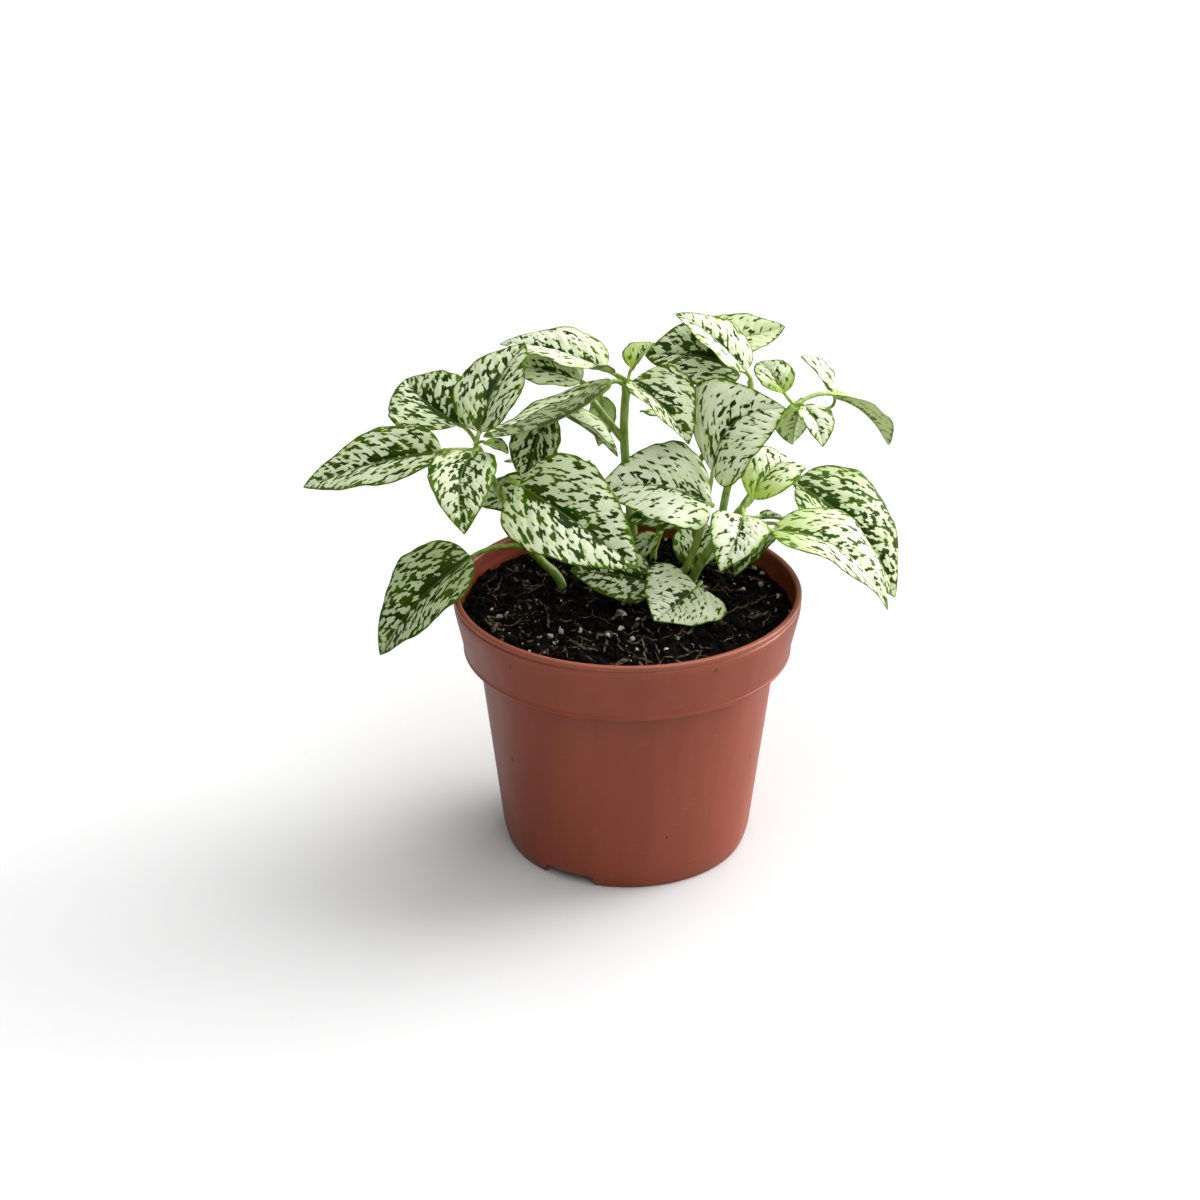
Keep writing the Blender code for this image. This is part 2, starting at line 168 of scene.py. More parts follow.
@dataclass
class Shell:
    """A surface in the making.

    Args:
        points: one row for each point, in millimetres.
        faces: arrays of faces, each with one number of corners.
        values: named arrays of three values for each point, which the finishes read.
        slot: the finish's place on the piece.
    """

    points: Array
    faces: list[Array]
    values: dict[str, Array] = field(default_factory=dict)
    slot: int = 0

    @classmethod
    def tubes(cls, paths: Array, radii: Array, side: Array, sides: int, slot: int = 0) -> "Shell":
        """Closed tubes along paths: a ring of points about each point of a path, and two caps.

        A ring's point is the path's point plus the radius times the cosine and sine of its angle,
        along the side direction and along the tangent crossed with it.

        Args:
            paths: (tubes, places, 3).
            radii: (tubes, places, 1), or (tubes, places, sides) for a tube that isn't round.
            side: a direction that is never along a path.
            sides: how many points a ring has.
            slot: the finish's place.

        Returns:
            The tubes.
        """
        count, places = paths.shape[:2]
        tangent = unit(np.gradient(paths, axis=1))
        first = unit(side - np.sum(tangent * side, axis=-1, keepdims=True) * tangent)
        second = np.cross(tangent, first)
        angle = np.linspace(0, 2 * math.pi, sides, endpoint=False)[:, None]
        ring = np.cos(angle) * first[:, :, None] + np.sin(angle) * second[:, :, None]
        points = (paths[:, :, None] + radii[..., None] * ring).reshape(count, -1, 3)
        last = (places - 1) * sides
        caps = np.array([np.arange(sides)[::-1], last + np.arange(sides)])
        shell = cls.copies(points, [grid_faces(places, sides, wrap=True), caps])
        shell.slot = slot
        return shell

    @classmethod
    def turned(cls, profile: Array, steps: int) -> "Shell":
        """A closed solid of revolution about Z from a profile that starts and ends near the axis.

        Args:
            profile: rows of radius and height, running up the inside and down the outside.
            steps: how many columns go round.

        Returns:
            The solid, with a flat cap over each small end.
        """
        angle = np.linspace(0, 2 * math.pi, steps, endpoint=False)
        radius, height = profile[:, :1], profile[:, 1:]
        flat = height * np.ones_like(angle)
        points = np.stack([radius * np.cos(angle), radius * np.sin(angle), flat], axis=-1).reshape(-1, 3)
        last = (len(profile) - 1) * steps
        faces = grid_faces(len(profile), steps, wrap=True)[:, ::-1]
        caps = np.array([np.arange(steps), (last + np.arange(steps))[::-1]])
        return cls(points, [faces, caps])

    @classmethod
    def copies(cls, points: Array, faces: list[Array]) -> "Shell":
        """Many copies of one shape in one shell.

        Args:
            points: (copies, points, 3).
            faces: the faces of one copy.

        Returns:
            The copies together.
        """
        count, size = points.shape[:2]
        shift = np.arange(count)[:, None, None] * size
        return cls(points.reshape(-1, 3), [(shift + part).reshape(-1, part.shape[1]) for part in faces])

    def piece(self, name: str, finishes: list[Material], *others: "Shell") -> Object:
        """An object with this shell's mesh and the others', at the origin.

        Args:
            name: the object's name.
            finishes: the materials, in the order of the shells' slots.
            others: more shells of the same piece.

        Returns:
            The new object.
        """
        shells = (self, *others)
        starts = np.cumsum([0] + [len(shell.points) for shell in shells[:-1]])
        faces = [part + start for shell, start in zip(shells, starts) for part in shell.faces]
        slots = [np.full(len(part), shell.slot) for shell in shells for part in shell.faces]
        totals = np.concatenate([np.full(len(part), part.shape[1]) for part in faces])
        mesh = bpy.data.meshes.new(name)
        points = np.vstack([shell.points for shell in shells]) * MM
        mesh.vertices.add(len(points))
        mesh.vertices.foreach_set("co", points.ravel())
        mesh.loops.add(int(totals.sum()))
        mesh.loops.foreach_set("vertex_index", np.concatenate([part.ravel() for part in faces]))
        mesh.polygons.add(len(totals))
        mesh.polygons.foreach_set("loop_start", np.cumsum(totals) - totals)
        mesh.polygons.foreach_set("loop_total", totals)
        mesh.polygons.foreach_set("material_index", np.concatenate(slots).astype(np.int32))
        for material in finishes:
            mesh.materials.append(material)
        mesh.update(calc_edges=True)
        for key in sorted({key for shell in shells for key in shell.values}):
            empty = [np.zeros((len(shell.points), 3)) for shell in shells]
            rows = [shell.values.get(key, zero) for shell, zero in zip(shells, empty)]
            layer = mesh.attributes.new(key, "FLOAT_VECTOR", "POINT")
            layer.data.foreach_set("vector", np.vstack(rows).ravel())
        mesh.shade_smooth()
        obj = bpy.data.objects.new(name, mesh)
        bpy.context.scene.collection.objects.link(obj)
        return obj


def place(obj: Object, slot: str, *nodes: str) -> None:
    """Puts a finished piece on the body and says which solids it stands for.

    Args:
        obj: the piece.
        slot: not used.
        nodes: the names of the solids.
    """
    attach(obj, BODY)
    if nodes:
        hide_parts(*nodes)
    log.info("%s: %d faces", obj.name, len(obj.data.polygons))


# Finishes.


class Graph:
    """A node tree, with short ways to add nodes to it."""

    def __init__(self, tree: Tree) -> None:
        """Keeps the tree."""
        self.tree = tree

    def node(self, kind: str, inputs: dict[Any, Any] | None = None, **settings: Any) -> Node:
        """A new node.

        Args:
            kind: the node's type.
            inputs: a value or a socket for each named or numbered input.
            settings: the node's own properties.

        Returns:
            The node.
        """
        node = self.tree.nodes.new(kind)
        for name, value in settings.items():
            setattr(node, name, value)
        for key, value in (inputs or {}).items():
            self.feed(node.inputs[key], value)
        return node

    def feed(self, socket: Socket, value: Any) -> None:
        """Links a socket to an input, or sets the input's value.

        Args:
            socket: the input.
            value: a socket to link, or a plain value.
        """
        if isinstance(value, Socket):
            self.tree.links.new(value, socket)
        else:
            socket.default_value = value

    def math(self, operation: str, *values: Any) -> Socket:
        """The result of a Math node on the values."""
        inputs = dict(enumerate(values))
        return self.node("ShaderNodeMath", inputs, operation=operation).outputs[0]

    def times(self, first: Any, second: Any) -> Socket:
        """The product of two values."""
        return self.math("MULTIPLY", first, second)

    def ramp(self, value: Any, low: float, high: float, start: float = 0, end: float = 1) -> Socket:
        """A smooth step from one result to another.

        Args:
            value: what is read.
            low: where the step starts. It may lie above high.
            high: where the step ends.
            start: the result at low.
            end: the result at high.

        Returns:
            The result.
        """
        inputs = {"Value": value, "From Min": low, "From Max": high, "To Min": start, "To Max": end}
        node = self.node("ShaderNodeMapRange", inputs, interpolation_type="SMOOTHSTEP", clamp=True)
        return node.outputs["Result"]

    def blend(self, factor: Any, first: Any, second: Any) -> Socket:
        """A colour between two, by a factor from 0 to 1."""
        inputs = {0: factor, 6: first, 7: second}
        return self.node("ShaderNodeMix", inputs, data_type="RGBA").outputs[2]

    def apart(self, vector: Socket) -> tuple[Socket, ...]:
        """The three values of a vector."""
        return tuple(self.node("ShaderNodeSeparateXYZ", {0: vector}).outputs)

    def parts(self, name: str) -> tuple[Socket, ...]:
        """The three values of one of the piece's attributes."""
        return self.apart(self.node("ShaderNodeAttribute", attribute_name=name).outputs["Vector"])

    def scaled(self, vector: Any, scale: Point, turn: Point = (0, 0, 0)) -> Socket:
        """A vector turned by the angles and scaled."""
        inputs = {"Vector": vector, "Rotation": turn, "Scale": scale}
        return self.node("ShaderNodeMapping", inputs).outputs[0]

    def noise(self, vector: Any, scale: Any, detail: float = 2.0, roughness: float = 0.5) -> Socket:
        """The value of a Noise Texture."""
        inputs = {"Vector": vector, "Scale": scale, "Detail": detail, "Roughness": roughness}
        return self.node("ShaderNodeTexNoise", inputs).outputs[0]

    def group(self, tree: Tree, **inputs: Any) -> Node:
        """A placed node group.

        Args:
            tree: the group.
            inputs: values for its inputs, by name.

        Returns:
            The node.
        """
        node = self.node("ShaderNodeGroup", node_tree=tree)
        for name, value in inputs.items():
            self.feed(node.inputs[name], value)
        return node


def new_group(name: str, inputs: dict[str, str], outputs: dict[str, str]) -> tuple[Graph, Any, Any]:
    """An empty shader node group.

    Args:
        name: the group's name.
        inputs: socket kinds by name.
        outputs: socket kinds by name.

    Returns:
        Its graph, and the nodes that hold its inputs and its outputs.
    """
    tree = bpy.data.node_groups.new(name, "ShaderNodeTree")
    for direction, sockets in (("INPUT", inputs), ("OUTPUT", outputs)):
        for label, kind in sockets.items():
            tree.interface.new_socket(label, in_out=direction, socket_type=f"NodeSocket{kind}")
    graph = Graph(tree)
    return graph, graph.node("NodeGroupInput").outputs, graph.node("NodeGroupOutput").inputs


def mottle_group() -> Tree:
    """Soft cloudy variation with a finer grain in it.

    Returns:
        The group. It gives the clouds as a value, and the clouds with the grain as a height.
    """
    inputs = {"Vector": "Vector", "Scale": "Float", "Grain": "Float"}
    graph, given, out = new_group("mottle", inputs, {"Value": "Float", "Height": "Float"})
    cloud = graph.noise(given["Vector"], given["Scale"], 3.0, 0.55)
    fine = graph.noise(given["Vector"], graph.times(given["Scale"], 9.0), 2.0, 0.6)
    graph.feed(out["Value"], graph.ramp(cloud, 0.3, 0.7))
    fine = graph.times(graph.math("SUBTRACT", fine, 0.5), given["Grain"])
    graph.feed(out["Height"], graph.math("ADD", cloud, fine))
    return graph.tree


def speckle_group() -> Tree:
    """Sparse small specks: the middles of some of the cells of a Voronoi pattern.

    Returns:
        The group. Its mask is 1 on a speck.
    """
    inputs = {"Vector": "Vector", "Scale": "Float", "Size": "Float", "Share": "Float"}
    graph, given, out = new_group("speckle", inputs, {"Mask": "Float"})
    cells = graph.node("ShaderNodeTexVoronoi", {"Vector": given["Vector"], "Scale": given["Scale"]})
    first, second, _ = graph.node("ShaderNodeSeparateColor", {0: cells.outputs["Color"]}).outputs
    size = graph.times(given["Size"], graph.math("ADD", first, 0.3))
    inside = graph.math("LESS_THAN", cells.outputs["Distance"], size)
    graph.feed(out["Mask"], graph.times(inside, graph.math("LESS_THAN", second, given["Share"])))
    return graph.tree


# How the markings lie on a leaf. The scales are per millimetre, and a place is green where its
# value passes the bar, which the leaf's share of dots lowers.
ACROSS_STRETCH = 1.65
BLOTCH_SCALE = 0.33
DOT_SCALE = 0.32
BAR = 0.765
BAR_BY_DOTS = -0.42

# The greens that every leaf shares.
PALE_GREEN = (0.52, 0.69, 0.18, 1)
NEW_GREEN = (0.44, 0.60, 0.05, 1)
NEW_SHADE = (0.20, 0.38, 0.02, 1)
RIB = (0.085, 0.17, 0.03, 1)
NEW_RIB = (0.42, 0.58, 0.10, 1)
UNDERSIDE = (0.55, 0.68, 0.28, 1)


def markings_group() -> Tree:
    """The markings of a leaf, from the values that its blade carries.

    The blade gives the place along and across the veins, and the way to the margin, in
    millimetres. Small cells take one noise value each, so that a blotch has the stepped outline
    of the leaf's finest veins, and a cell is green where that value, raised near the midrib, near
    a side vein and at the margin, passes a threshold set by the leaf's tone.

    Returns:
        The group. It gives the skin's colour, height and roughness.
    """
    inputs = {"Ground": "Color", "Shade": "Color", "Lime": "Color"}
    outputs = {"Colour": "Color", "Height": "Float", "Roughness": "Float"}
    graph, given, out = new_group("leaf_markings", inputs, outputs)
    run, across, edge = graph.parts("blade")
    phase, place_along, under = graph.parts("vein")
    dots, youth, pale = graph.parts("tone")
    reach = graph.parts("reach")[0]

    stretched = graph.times(across, ACROSS_STRETCH)
    flat = graph.node("ShaderNodeCombineXYZ", {0: run, 1: stretched}).outputs[0]
    cells = graph.node("ShaderNodeTexVoronoi", {"Vector": flat, "Scale": 1.0}, voronoi_dimensions="2D")
    nearest = {0: 0.25, 4: cells.outputs["Position"], 5: flat}
    stepped = graph.node("ShaderNodeMix", nearest, data_type="VECTOR").outputs[1]
    value = graph.noise(stepped, BLOTCH_SCALE, 1.8, 0.62)
    dotted = {"Vector": stepped, "Scale": DOT_SCALE}
    dot = graph.node("ShaderNodeTexVoronoi", dotted, voronoi_dimensions="2D")
    value = graph.math("MULTIPLY_ADD", graph.ramp(dot.outputs["Distance"], 0.6, 0.0), 0.17, value)

    vein_gap = graph.math("ABSOLUTE", graph.math("SUBTRACT", graph.math("FRACT", phase), 0.5))
    on_vein = graph.ramp(vein_gap, 0.33, 0.5)
    share_across = graph.math("DIVIDE", graph.math("ABSOLUTE", across), reach)
    mid = graph.ramp(share_across, 0.24, 0.02)
    fade = graph.times(graph.ramp(place_along, 0.0, 0.1), graph.ramp(place_along, 0.9, 0.35))
    mid = graph.times(mid, fade)
    mid_lift = graph.math("MULTIPLY_ADD", dots, 0.10, 0.12)
    vein_lift = graph.math("MULTIPLY_ADD", graph.ramp(share_across, 0.9, 0.1), 0.10, 0.04)
    lifted = graph.math("MULTIPLY_ADD", on_vein, vein_lift, value)
    lifted = graph.math("MULTIPLY_ADD", mid, mid_lift, lifted)
    lifted = graph.math("MULTIPLY_ADD", graph.ramp(edge, 1.8, 0.2), 0.10, lifted)
    over = graph.math("SUBTRACT", lifted, graph.math("MULTIPLY_ADD", dots, BAR_BY_DOTS, BAR))
    green = graph.ramp(over, -0.010, 0.010)
    halo = graph.ramp(over, -0.075, -0.005)
    margin = graph.ramp(edge, 0.62, 0.36)
    green = graph.math("MAXIMUM", green, graph.times(margin, 0.85))

    broad = graph.noise(flat, 0.12, 2.0, 0.5)
    toward_base = graph.times(graph.ramp(place_along, 0.42, 0.0), youth)
    by_edge = graph.ramp(edge, 3.0, 0.3, 0.0, 0.45)
    limeness = graph.math("ADD", graph.ramp(broad, 0.35, 0.68, 0.0, 0.65), by_edge)
    limeness = graph.times(limeness, graph.math("SUBTRACT", 1.0, mid))
    by_edge = graph.ramp(edge, 2.6, 0.2, 0.0, 0.5)
    tint = graph.math("ADD", graph.ramp(broad, 0.45, 0.75, 0.0, 0.3), by_edge)
    tint = graph.math("MAXIMUM", graph.math("MULTIPLY_ADD", halo, 0.6, tint), pale)
    ground = graph.blend(tint, given["Ground"], PALE_GREEN)
    ground = graph.blend(toward_base, ground, NEW_GREEN)
    shade = graph.blend(limeness, given["Shade"], given["Lime"])
    shade = graph.blend(graph.times(toward_base, 0.75), shade, NEW_SHADE)
    skin = graph.blend(green, ground, shade)
    rib = graph.ramp(graph.math("ABSOLUTE", across), 0.42, 0.12)
    rib_colour = graph.blend(youth, RIB, NEW_RIB)
    rib = graph.times(rib, graph.ramp(place_along, 1.0, 0.5, 0.1, 0.7))
    skin = graph.blend(rib, skin, rib_colour)
    back = graph.blend(0.3, skin, UNDERSIDE)
    graph.feed(out["Colour"], graph.blend(under, skin, back))
    graph.feed(out["Height"], graph.math("MULTIPLY_ADD", green, 0.25, graph.noise(flat, 3.0, 2.0, 0.6)))
    graph.feed(out["Roughness"], graph.ramp(green, 0.0, 1.0, 0.5, 0.38))
    return graph.tree


class Groups:
    """The node groups that the finishes share, each built once."""

    mottle: Tree
    speckle: Tree
    markings: Tree

    @classmethod
    def build(cls) -> None:
        """Builds every group."""
        cls.mottle, cls.speckle, cls.markings = mottle_group(), speckle_group(), markings_group()


def new_material(name: str) -> tuple[Material, Graph, Node, Socket]:
    """A material with a Principled shader.

    Args:
        name: the material's name.

    Returns:
        The material, its graph, its shader node, and its Object coordinates.
    """
    material = bpy.data.materials.new(name)
    material.use_nodes = True
    graph = Graph(material.node_tree)
    shader = material.node_tree.nodes["Principled BSDF"]
    return material, graph, shader, graph.node("ShaderNodeTexCoord").outputs["Object"]


def dress(graph: Graph, shader: Node, skin: Socket, roughness: Socket, height: Socket, bump: Pair) -> None:
    """Feeds a Principled shader.

    Args:
        graph: the material's graph.
        shader: the shader.
        skin: the base colour.
        roughness: the roughness.
        height: the relief.
        bump: the relief's strength, and its depth in metres.
    """
    inputs = {"Height": height, "Strength": bump[0], "Distance": bump[1]}
    normal = graph.node("ShaderNodeBump", inputs).outputs[0]
    for label, value in (("Base Color", skin), ("Roughness", roughness), ("Normal", normal)):
        graph.feed(shader.inputs[label], value)


@dataclass(frozen=True)
class LeafFinish:
    """The skin of a leaf: white splashed over green, with a satin surface that lets light through.

    Args:
        name: the material's name.
        ground: the colour of the white splash.
        shade: the dark green of the blotches.
        lime: the fresher green of some of them.
        glow: the share of the light that comes through from behind.
        gloss: the shader's specular level.
    """

    name: str
    ground: Colour = (0.94, 0.98, 0.80, 1)
    shade: Colour = (0.014, 0.042, 0.001, 1)
    lime: Colour = (0.10, 0.21, 0.003, 1)
    glow: float = 0.27
    gloss: float = 0.13

    def material(self) -> Material:
        """Builds the material.

        Returns:
            The material.
        """
        material, graph, shader, _ = new_material(self.name)
        marks = graph.group(Groups.markings, Ground=self.ground, Shade=self.shade, Lime=self.lime)
        colour, height, roughness = marks.outputs
        dress(graph, shader, colour, roughness, height, (0.25, 0.0002))
        shader.inputs["Specular IOR Level"].default_value = self.gloss
        through = graph.node("ShaderNodeBsdfTranslucent", {"Color": colour})
        layers = {0: self.glow, 1: shader.outputs[0], 2: through.outputs[0]}
        mixed = graph.node("ShaderNodeMixShader", layers)
        output = material.node_tree.nodes["Material Output"]
        graph.feed(output.inputs["Surface"], mixed.outputs[0])
        return material


@dataclass(frozen=True)
class StemFinish:
    """The skin of a stem or a petiole: green with paler streaks along it.

    Args:
        name: the material's name.
        dark: the darker green.
        light: the paler green of the streaks.
        spot: the dark green of the finest spots.
    """

    name: str
    dark: Colour = (0.14, 0.27, 0.022, 1)
    light: Colour = (0.38, 0.52, 0.09, 1)
    spot: Colour = (0.05, 0.10, 0.01, 1)

    def material(self) -> Material:
        """Builds the material.

        Returns:
            The material.
        """
        material, graph, shader, place_at = new_material(self.name)
        stretched = graph.scaled(place_at, (1, 1, 0.2))
        mottle = graph.group(Groups.mottle, Vector=stretched, Scale=700.0, Grain=0.4)
        spots = graph.group(Groups.speckle, Vector=place_at, Scale=1400.0, Size=0.25, Share=0.25)
        skin = graph.blend(mottle.outputs["Value"], self.dark, self.light)
        skin = graph.blend(graph.times(spots.outputs["Mask"], 0.35), skin, self.spot)
        roughness = graph.ramp(mottle.outputs["Value"], 0.0, 1.0, 0.36, 0.5)
        dress(graph, shader, skin, roughness, mottle.outputs["Height"], (0.3, 0.0003))
        shader.inputs["Subsurface Weight"].default_value = 0.15
        shader.inputs["Subsurface Radius"].default_value = (0.6, 1.0, 0.2)
        shader.inputs["Subsurface Scale"].default_value = 0.0008
        return material


@dataclass(frozen=True)
class PotFinish:
    """Moulded plastic in a terracotta colour, with specks, dents, scuffs, and a rim that grows paler towards
    its top: partly wear, partly a painted highlight on the lip.

    Args:
        colour: the plastic.
        deep: its darker streaks.
        dust_and_highlight: the bloom on scuffed places, and the paler top of the rim, which is partly a
            painted highlight.
        speck: the small dark specks.
        dent: the soil in the dents.
        rim_wear_and_highlight: the heights, in metres, between which the rim grows paler, partly by wear and
            partly by a painted highlight.
    """

    colour: Colour = (0.305, 0.058, 0.022, 1)
    deep: Colour = (0.272, 0.048, 0.017, 1)
    dust_and_highlight: Colour = (0.40, 0.18, 0.11, 1)
    speck: Colour = (0.10, 0.022, 0.012, 1)
    dent: Colour = (0.05, 0.015, 0.01, 1)
    rim_wear_and_highlight: Pair = (0.0785, 0.0828)

    def material(self) -> Material:
        """Builds the material.

        Returns:
            The material.
        """
        material, graph, shader, place_at = new_material("pot_plastic_surface")
        height = graph.apart(place_at)[2]
        streaked = graph.scaled(place_at, (1, 1, 0.12))
        flow = graph.group(Groups.mottle, Vector=streaked, Scale=90.0, Grain=0.2)
        grain = graph.group(Groups.mottle, Vector=place_at, Scale=420.0, Grain=0.5)
        specks = graph.group(Groups.speckle, Vector=place_at, Scale=150.0, Size=0.10, Share=0.22)
        dents = graph.group(Groups.speckle, Vector=place_at, Scale=70.0, Size=0.055, Share=0.45)
        scratched = graph.scaled(place_at, (1, 1, 14), (0.3, 0.5, 0.2))
        lines = graph.ramp(graph.noise(scratched, 160.0, 2.0, 0.5), 0.66, 0.72)
        skin = graph.blend(flow.outputs["Value"], self.colour, self.deep)
        scuff = graph.times(lines, graph.ramp(grain.outputs["Value"], 0.3, 0.9, 0.0, 0.3))
        skin = graph.blend(scuff, skin, self.dust_and_highlight)
        skin = graph.blend(graph.times(specks.outputs["Mask"], 0.6), skin, self.speck)
        skin = graph.blend(graph.times(dents.outputs["Mask"], 0.85), skin, self.dent)
        # The rim grows paler towards its top: partly wear, partly a painted highlight on the lip.
        skin = graph.blend(graph.ramp(height, *self.rim_wear_and_highlight, 0.0, 0.22), skin, self.dust_and_highlight)
        dented = graph.times(dents.outputs["Mask"], 0.8)
        relief = graph.math("SUBTRACT", grain.outputs["Height"], dented)
        roughness = graph.ramp(flow.outputs["Height"], 0.25, 0.75, 0.33, 0.43)
        dress(graph, shader, skin, roughness, relief, (0.12, 0.0003))
        return material


@dataclass(frozen=True)
class GrainFinish:
    """An earthy, rough finish: two colours in clouds, with specks of a third.

    Args:
        name: the material's name.
        dark: the darker colour.
        light: the lighter one.
        speck: the specks' colour.
        scale: how fine the clouds are.
        roughness: the shader's roughness.
        share: how many of the specks show.
    """

    name: str
    dark: Colour
    light: Colour
    speck: Colour
    scale: float = 500.0
    roughness: float = 0.9
    share: float = 0.1

    def material(self) -> Material:
        """Builds the material.

        Returns:
            The material.
        """
        material, graph, shader, place_at = new_material(self.name)
        mottle = graph.group(Groups.mottle, Vector=place_at, Scale=self.scale, Grain=0.8)
        specks = graph.group(Groups.speckle, Vector=place_at, Scale=900.0, Size=0.3, Share=self.share)
        skin = graph.blend(mottle.outputs["Value"], self.dark, self.light)
        skin = graph.blend(specks.outputs["Mask"], skin, self.speck)
        smoothest = self.roughness - 0.12
        roughness = graph.ramp(mottle.outputs["Value"], 0.0, 1.0, smoothest, self.roughness)
        dress(graph, shader, skin, roughness, mottle.outputs["Height"], (0.8, 0.0006))
        shader.inputs["Specular IOR Level"].default_value = 0.08
        return material


# The pot and its soil.


@dataclass(frozen=True)
class Pot:
    """A nursery pot: a sloping collar with a thin lip, a tapered body, and a foot ring with notches.

    The sizes are radii and heights in millimetres.
    """

    rim_radius: float = 52.5
    height: float = 83.0
    rim_band: float = 4.0
    lip_width: float = 1.9
    collar_foot: Pair = (49.4, 64.0)
    body_top: Pair = (45.0, 62.0)
    body_low: Pair = (38.2, 5.0)
    foot_radius: float = 37.0
    wall: float = 1.6
    floor_underside: float = 3.4
    floor_corner: float = 1.5
    ring_width: float = 1.7
    boss_radius: float = 14.0
    bead: float = 0.35
    notches: int = 3
    notch_angle: float = -118.5
    notch_width: float = 16.5
    notch_height: float = 3.0
    drains: int = 6
    drain_circle: float = 25.0
    drain_radius: float = 3.2
    steps: int = 384
    finish: PotFinish = PotFinish()

    def inner_step(self) -> Pair:
        """The heights of the inner wall's step, which lies one wall above the outer one."""
        return self.body_top[1] + self.wall, self.collar_foot[1] + self.wall

    def inner_radius(self, height: Any) -> Any:
        """The radius of the inner wall, by straight lines between the wall's corners.

        Args:
            height: one height, or an array of them.

        Returns:
            The radius at each height.
        """
        heights = (self.body_low[1], *self.inner_step(), self.height - self.rim_band)
        mouth = self.rim_radius - self.lip_width + self.wall
        radii = (self.body_low[0], self.body_top[0], self.collar_foot[0], mouth)
        return np.interp(height, heights, radii) - self.wall

    def outline(self) -> Array:
        """The profile, up the inside and down the outside, with every corner rounded.

        A corner is replaced by a quadratic curve that leaves each of its two sides at the
        corner's rounding. The long straight runs are divided evenly.

        Returns:
            Rows of radius and height.
        """
        top, rim_low, floor = self.height, self.height - self.rim_band, self.floor_underside + self.wall
        collar_radius, collar_height = self.collar_foot
        step_low, step_high = self.inner_step()
        ring_inner = self.foot_radius - self.ring_width
        wall_foot = float(self.inner_radius(floor + self.floor_corner))
        corners = [
            (AXIS_GAP, self.wall, 0.0),
            (self.boss_radius - self.wall, self.wall, 0.6),
            (self.boss_radius, floor, 0.6),
            (wall_foot - self.floor_corner, floor, 1.2),
            (wall_foot, floor + self.floor_corner, 1.2),
            (float(self.inner_radius(step_low)), step_low, 0.6),
            (float(self.inner_radius(step_high)), step_high, 0.6),
            (self.rim_radius - self.lip_width, rim_low, 0.8),
            (self.rim_radius - self.lip_width, top, 0.75),
            (self.rim_radius, top, 0.75),
            (self.rim_radius, rim_low + 2.6, 0.15),
            (self.rim_radius - 0.5, rim_low + 2.3, 0.15),
            (self.rim_radius - 0.1, rim_low + 1.7, 0.3),
            (self.rim_radius - 0.1, rim_low, 1.2),
            (collar_radius, collar_height + 1.4, 0.5),
            (collar_radius + self.bead, collar_height + 0.7, 0.3),
            (collar_radius, collar_height, 0.4),
            (*self.body_top, 0.5),
            (*self.body_low, 0.6),
            (self.foot_radius + 0.05, 1.0, 0.5),
            (self.foot_radius - 0.55, 0.0, 0.3),
            (ring_inner, 0.0, 0.3),
            (ring_inner, self.floor_underside, 0.5),
            (self.boss_radius + 0.3, self.floor_underside, 0.3),
            (self.boss_radius, 0.0, 0.3),
            (AXIS_GAP, 0.0, 0.0),
        ]
        knots = np.array(corners)
        points, rounding = knots[1:-1, :2], knots[1:-1, 2:]
        back, on = knots[:-2, :2] - points, knots[2:, :2] - points
        room = np.minimum(np.linalg.norm(back, axis=1), np.linalg.norm(on, axis=1))[:, None] * 0.45
        reach = np.minimum(rounding, room)
        start, end = points + unit(back) * reach, points + unit(on) * reach
        share = np.linspace(0, 1, 5)[None, :, None]
        bends = (1 - share) ** 2 * start[:, None] + 2 * share * (1 - share) * points[:, None]
        bends = bends + share**2 * end[:, None]
        line = np.vstack([knots[:1, :2], bends.reshape(-1, 2), knots[-1:, :2]])
        reached = travelled(line)
        added = np.arange(2.0, reached[-1], 4.0)
        nearest = np.min(np.abs(added[:, None] - reached[None, :]), axis=1)
        places = np.sort(np.concatenate([reached, added[nearest > 0.6]]))
        return np.stack([np.interp(places, reached, line[:, axis]) for axis in range(2)], axis=-1)

    def build(self) -> None:
        """The pot, with notches in its foot ring and drain holes through its floor.

        A notch lifts the foot ring's underside to the notch's height over a window of angles with
        soft sides.
        """
        shell = Shell.turned(self.outline(), self.steps)
        angle = np.degrees(np.arctan2(shell.points[:, 1], shell.points[:, 0]))
        period = 360 / self.notches
        off = np.abs((angle - self.notch_angle + period / 2) % period - period / 2)
        half = math.degrees(self.notch_width / 2 / self.foot_radius)
        lift = self.notch_height * (1 - smoothstep(off, half - 0.7, half + 0.7))
        radius = np.hypot(shell.points[:, 0], shell.points[:, 1])
        on_ring = radius > self.foot_radius - self.ring_width - 0.2
        shell.points[:, 2] = np.where(on_ring, np.maximum(shell.points[:, 2], lift), shell.points[:, 2])
        pot = shell.piece("pot_shell", [self.finish.material()])
        turn = 2 * math.pi * (np.arange(self.drains) + 0.5) / self.drains
        centres = np.stack([np.cos(turn), np.sin(turn), 0 * turn], axis=-1) * self.drain_circle
        rise = np.linspace(self.floor_underside - 2, self.floor_underside + self.wall + 2, 2)
        paths = centres[:, None] + rise[None, :, None] * np.array((0, 0, 1.0))
        radii = np.full((self.drains, 2, 1), self.drain_radius)
        cutter = Shell.tubes(paths, radii, np.array((1.0, 0, 0)), 40).piece("drain_cutter", [])
        holes = pot.modifiers.new("drains", "BOOLEAN")
        holes.object = cutter
        bpy.context.view_layer.update()
        mesh = bpy.data.meshes.new_from_object(pot.evaluated_get(bpy.context.evaluated_depsgraph_get()))
        pot.modifiers.clear()
        pot.data = mesh
        bpy.data.objects.remove(cutter)
        mesh.set_sharp_from_angle(angle=math.radians(50))
        place(pot, "pot_plastic", "pot")


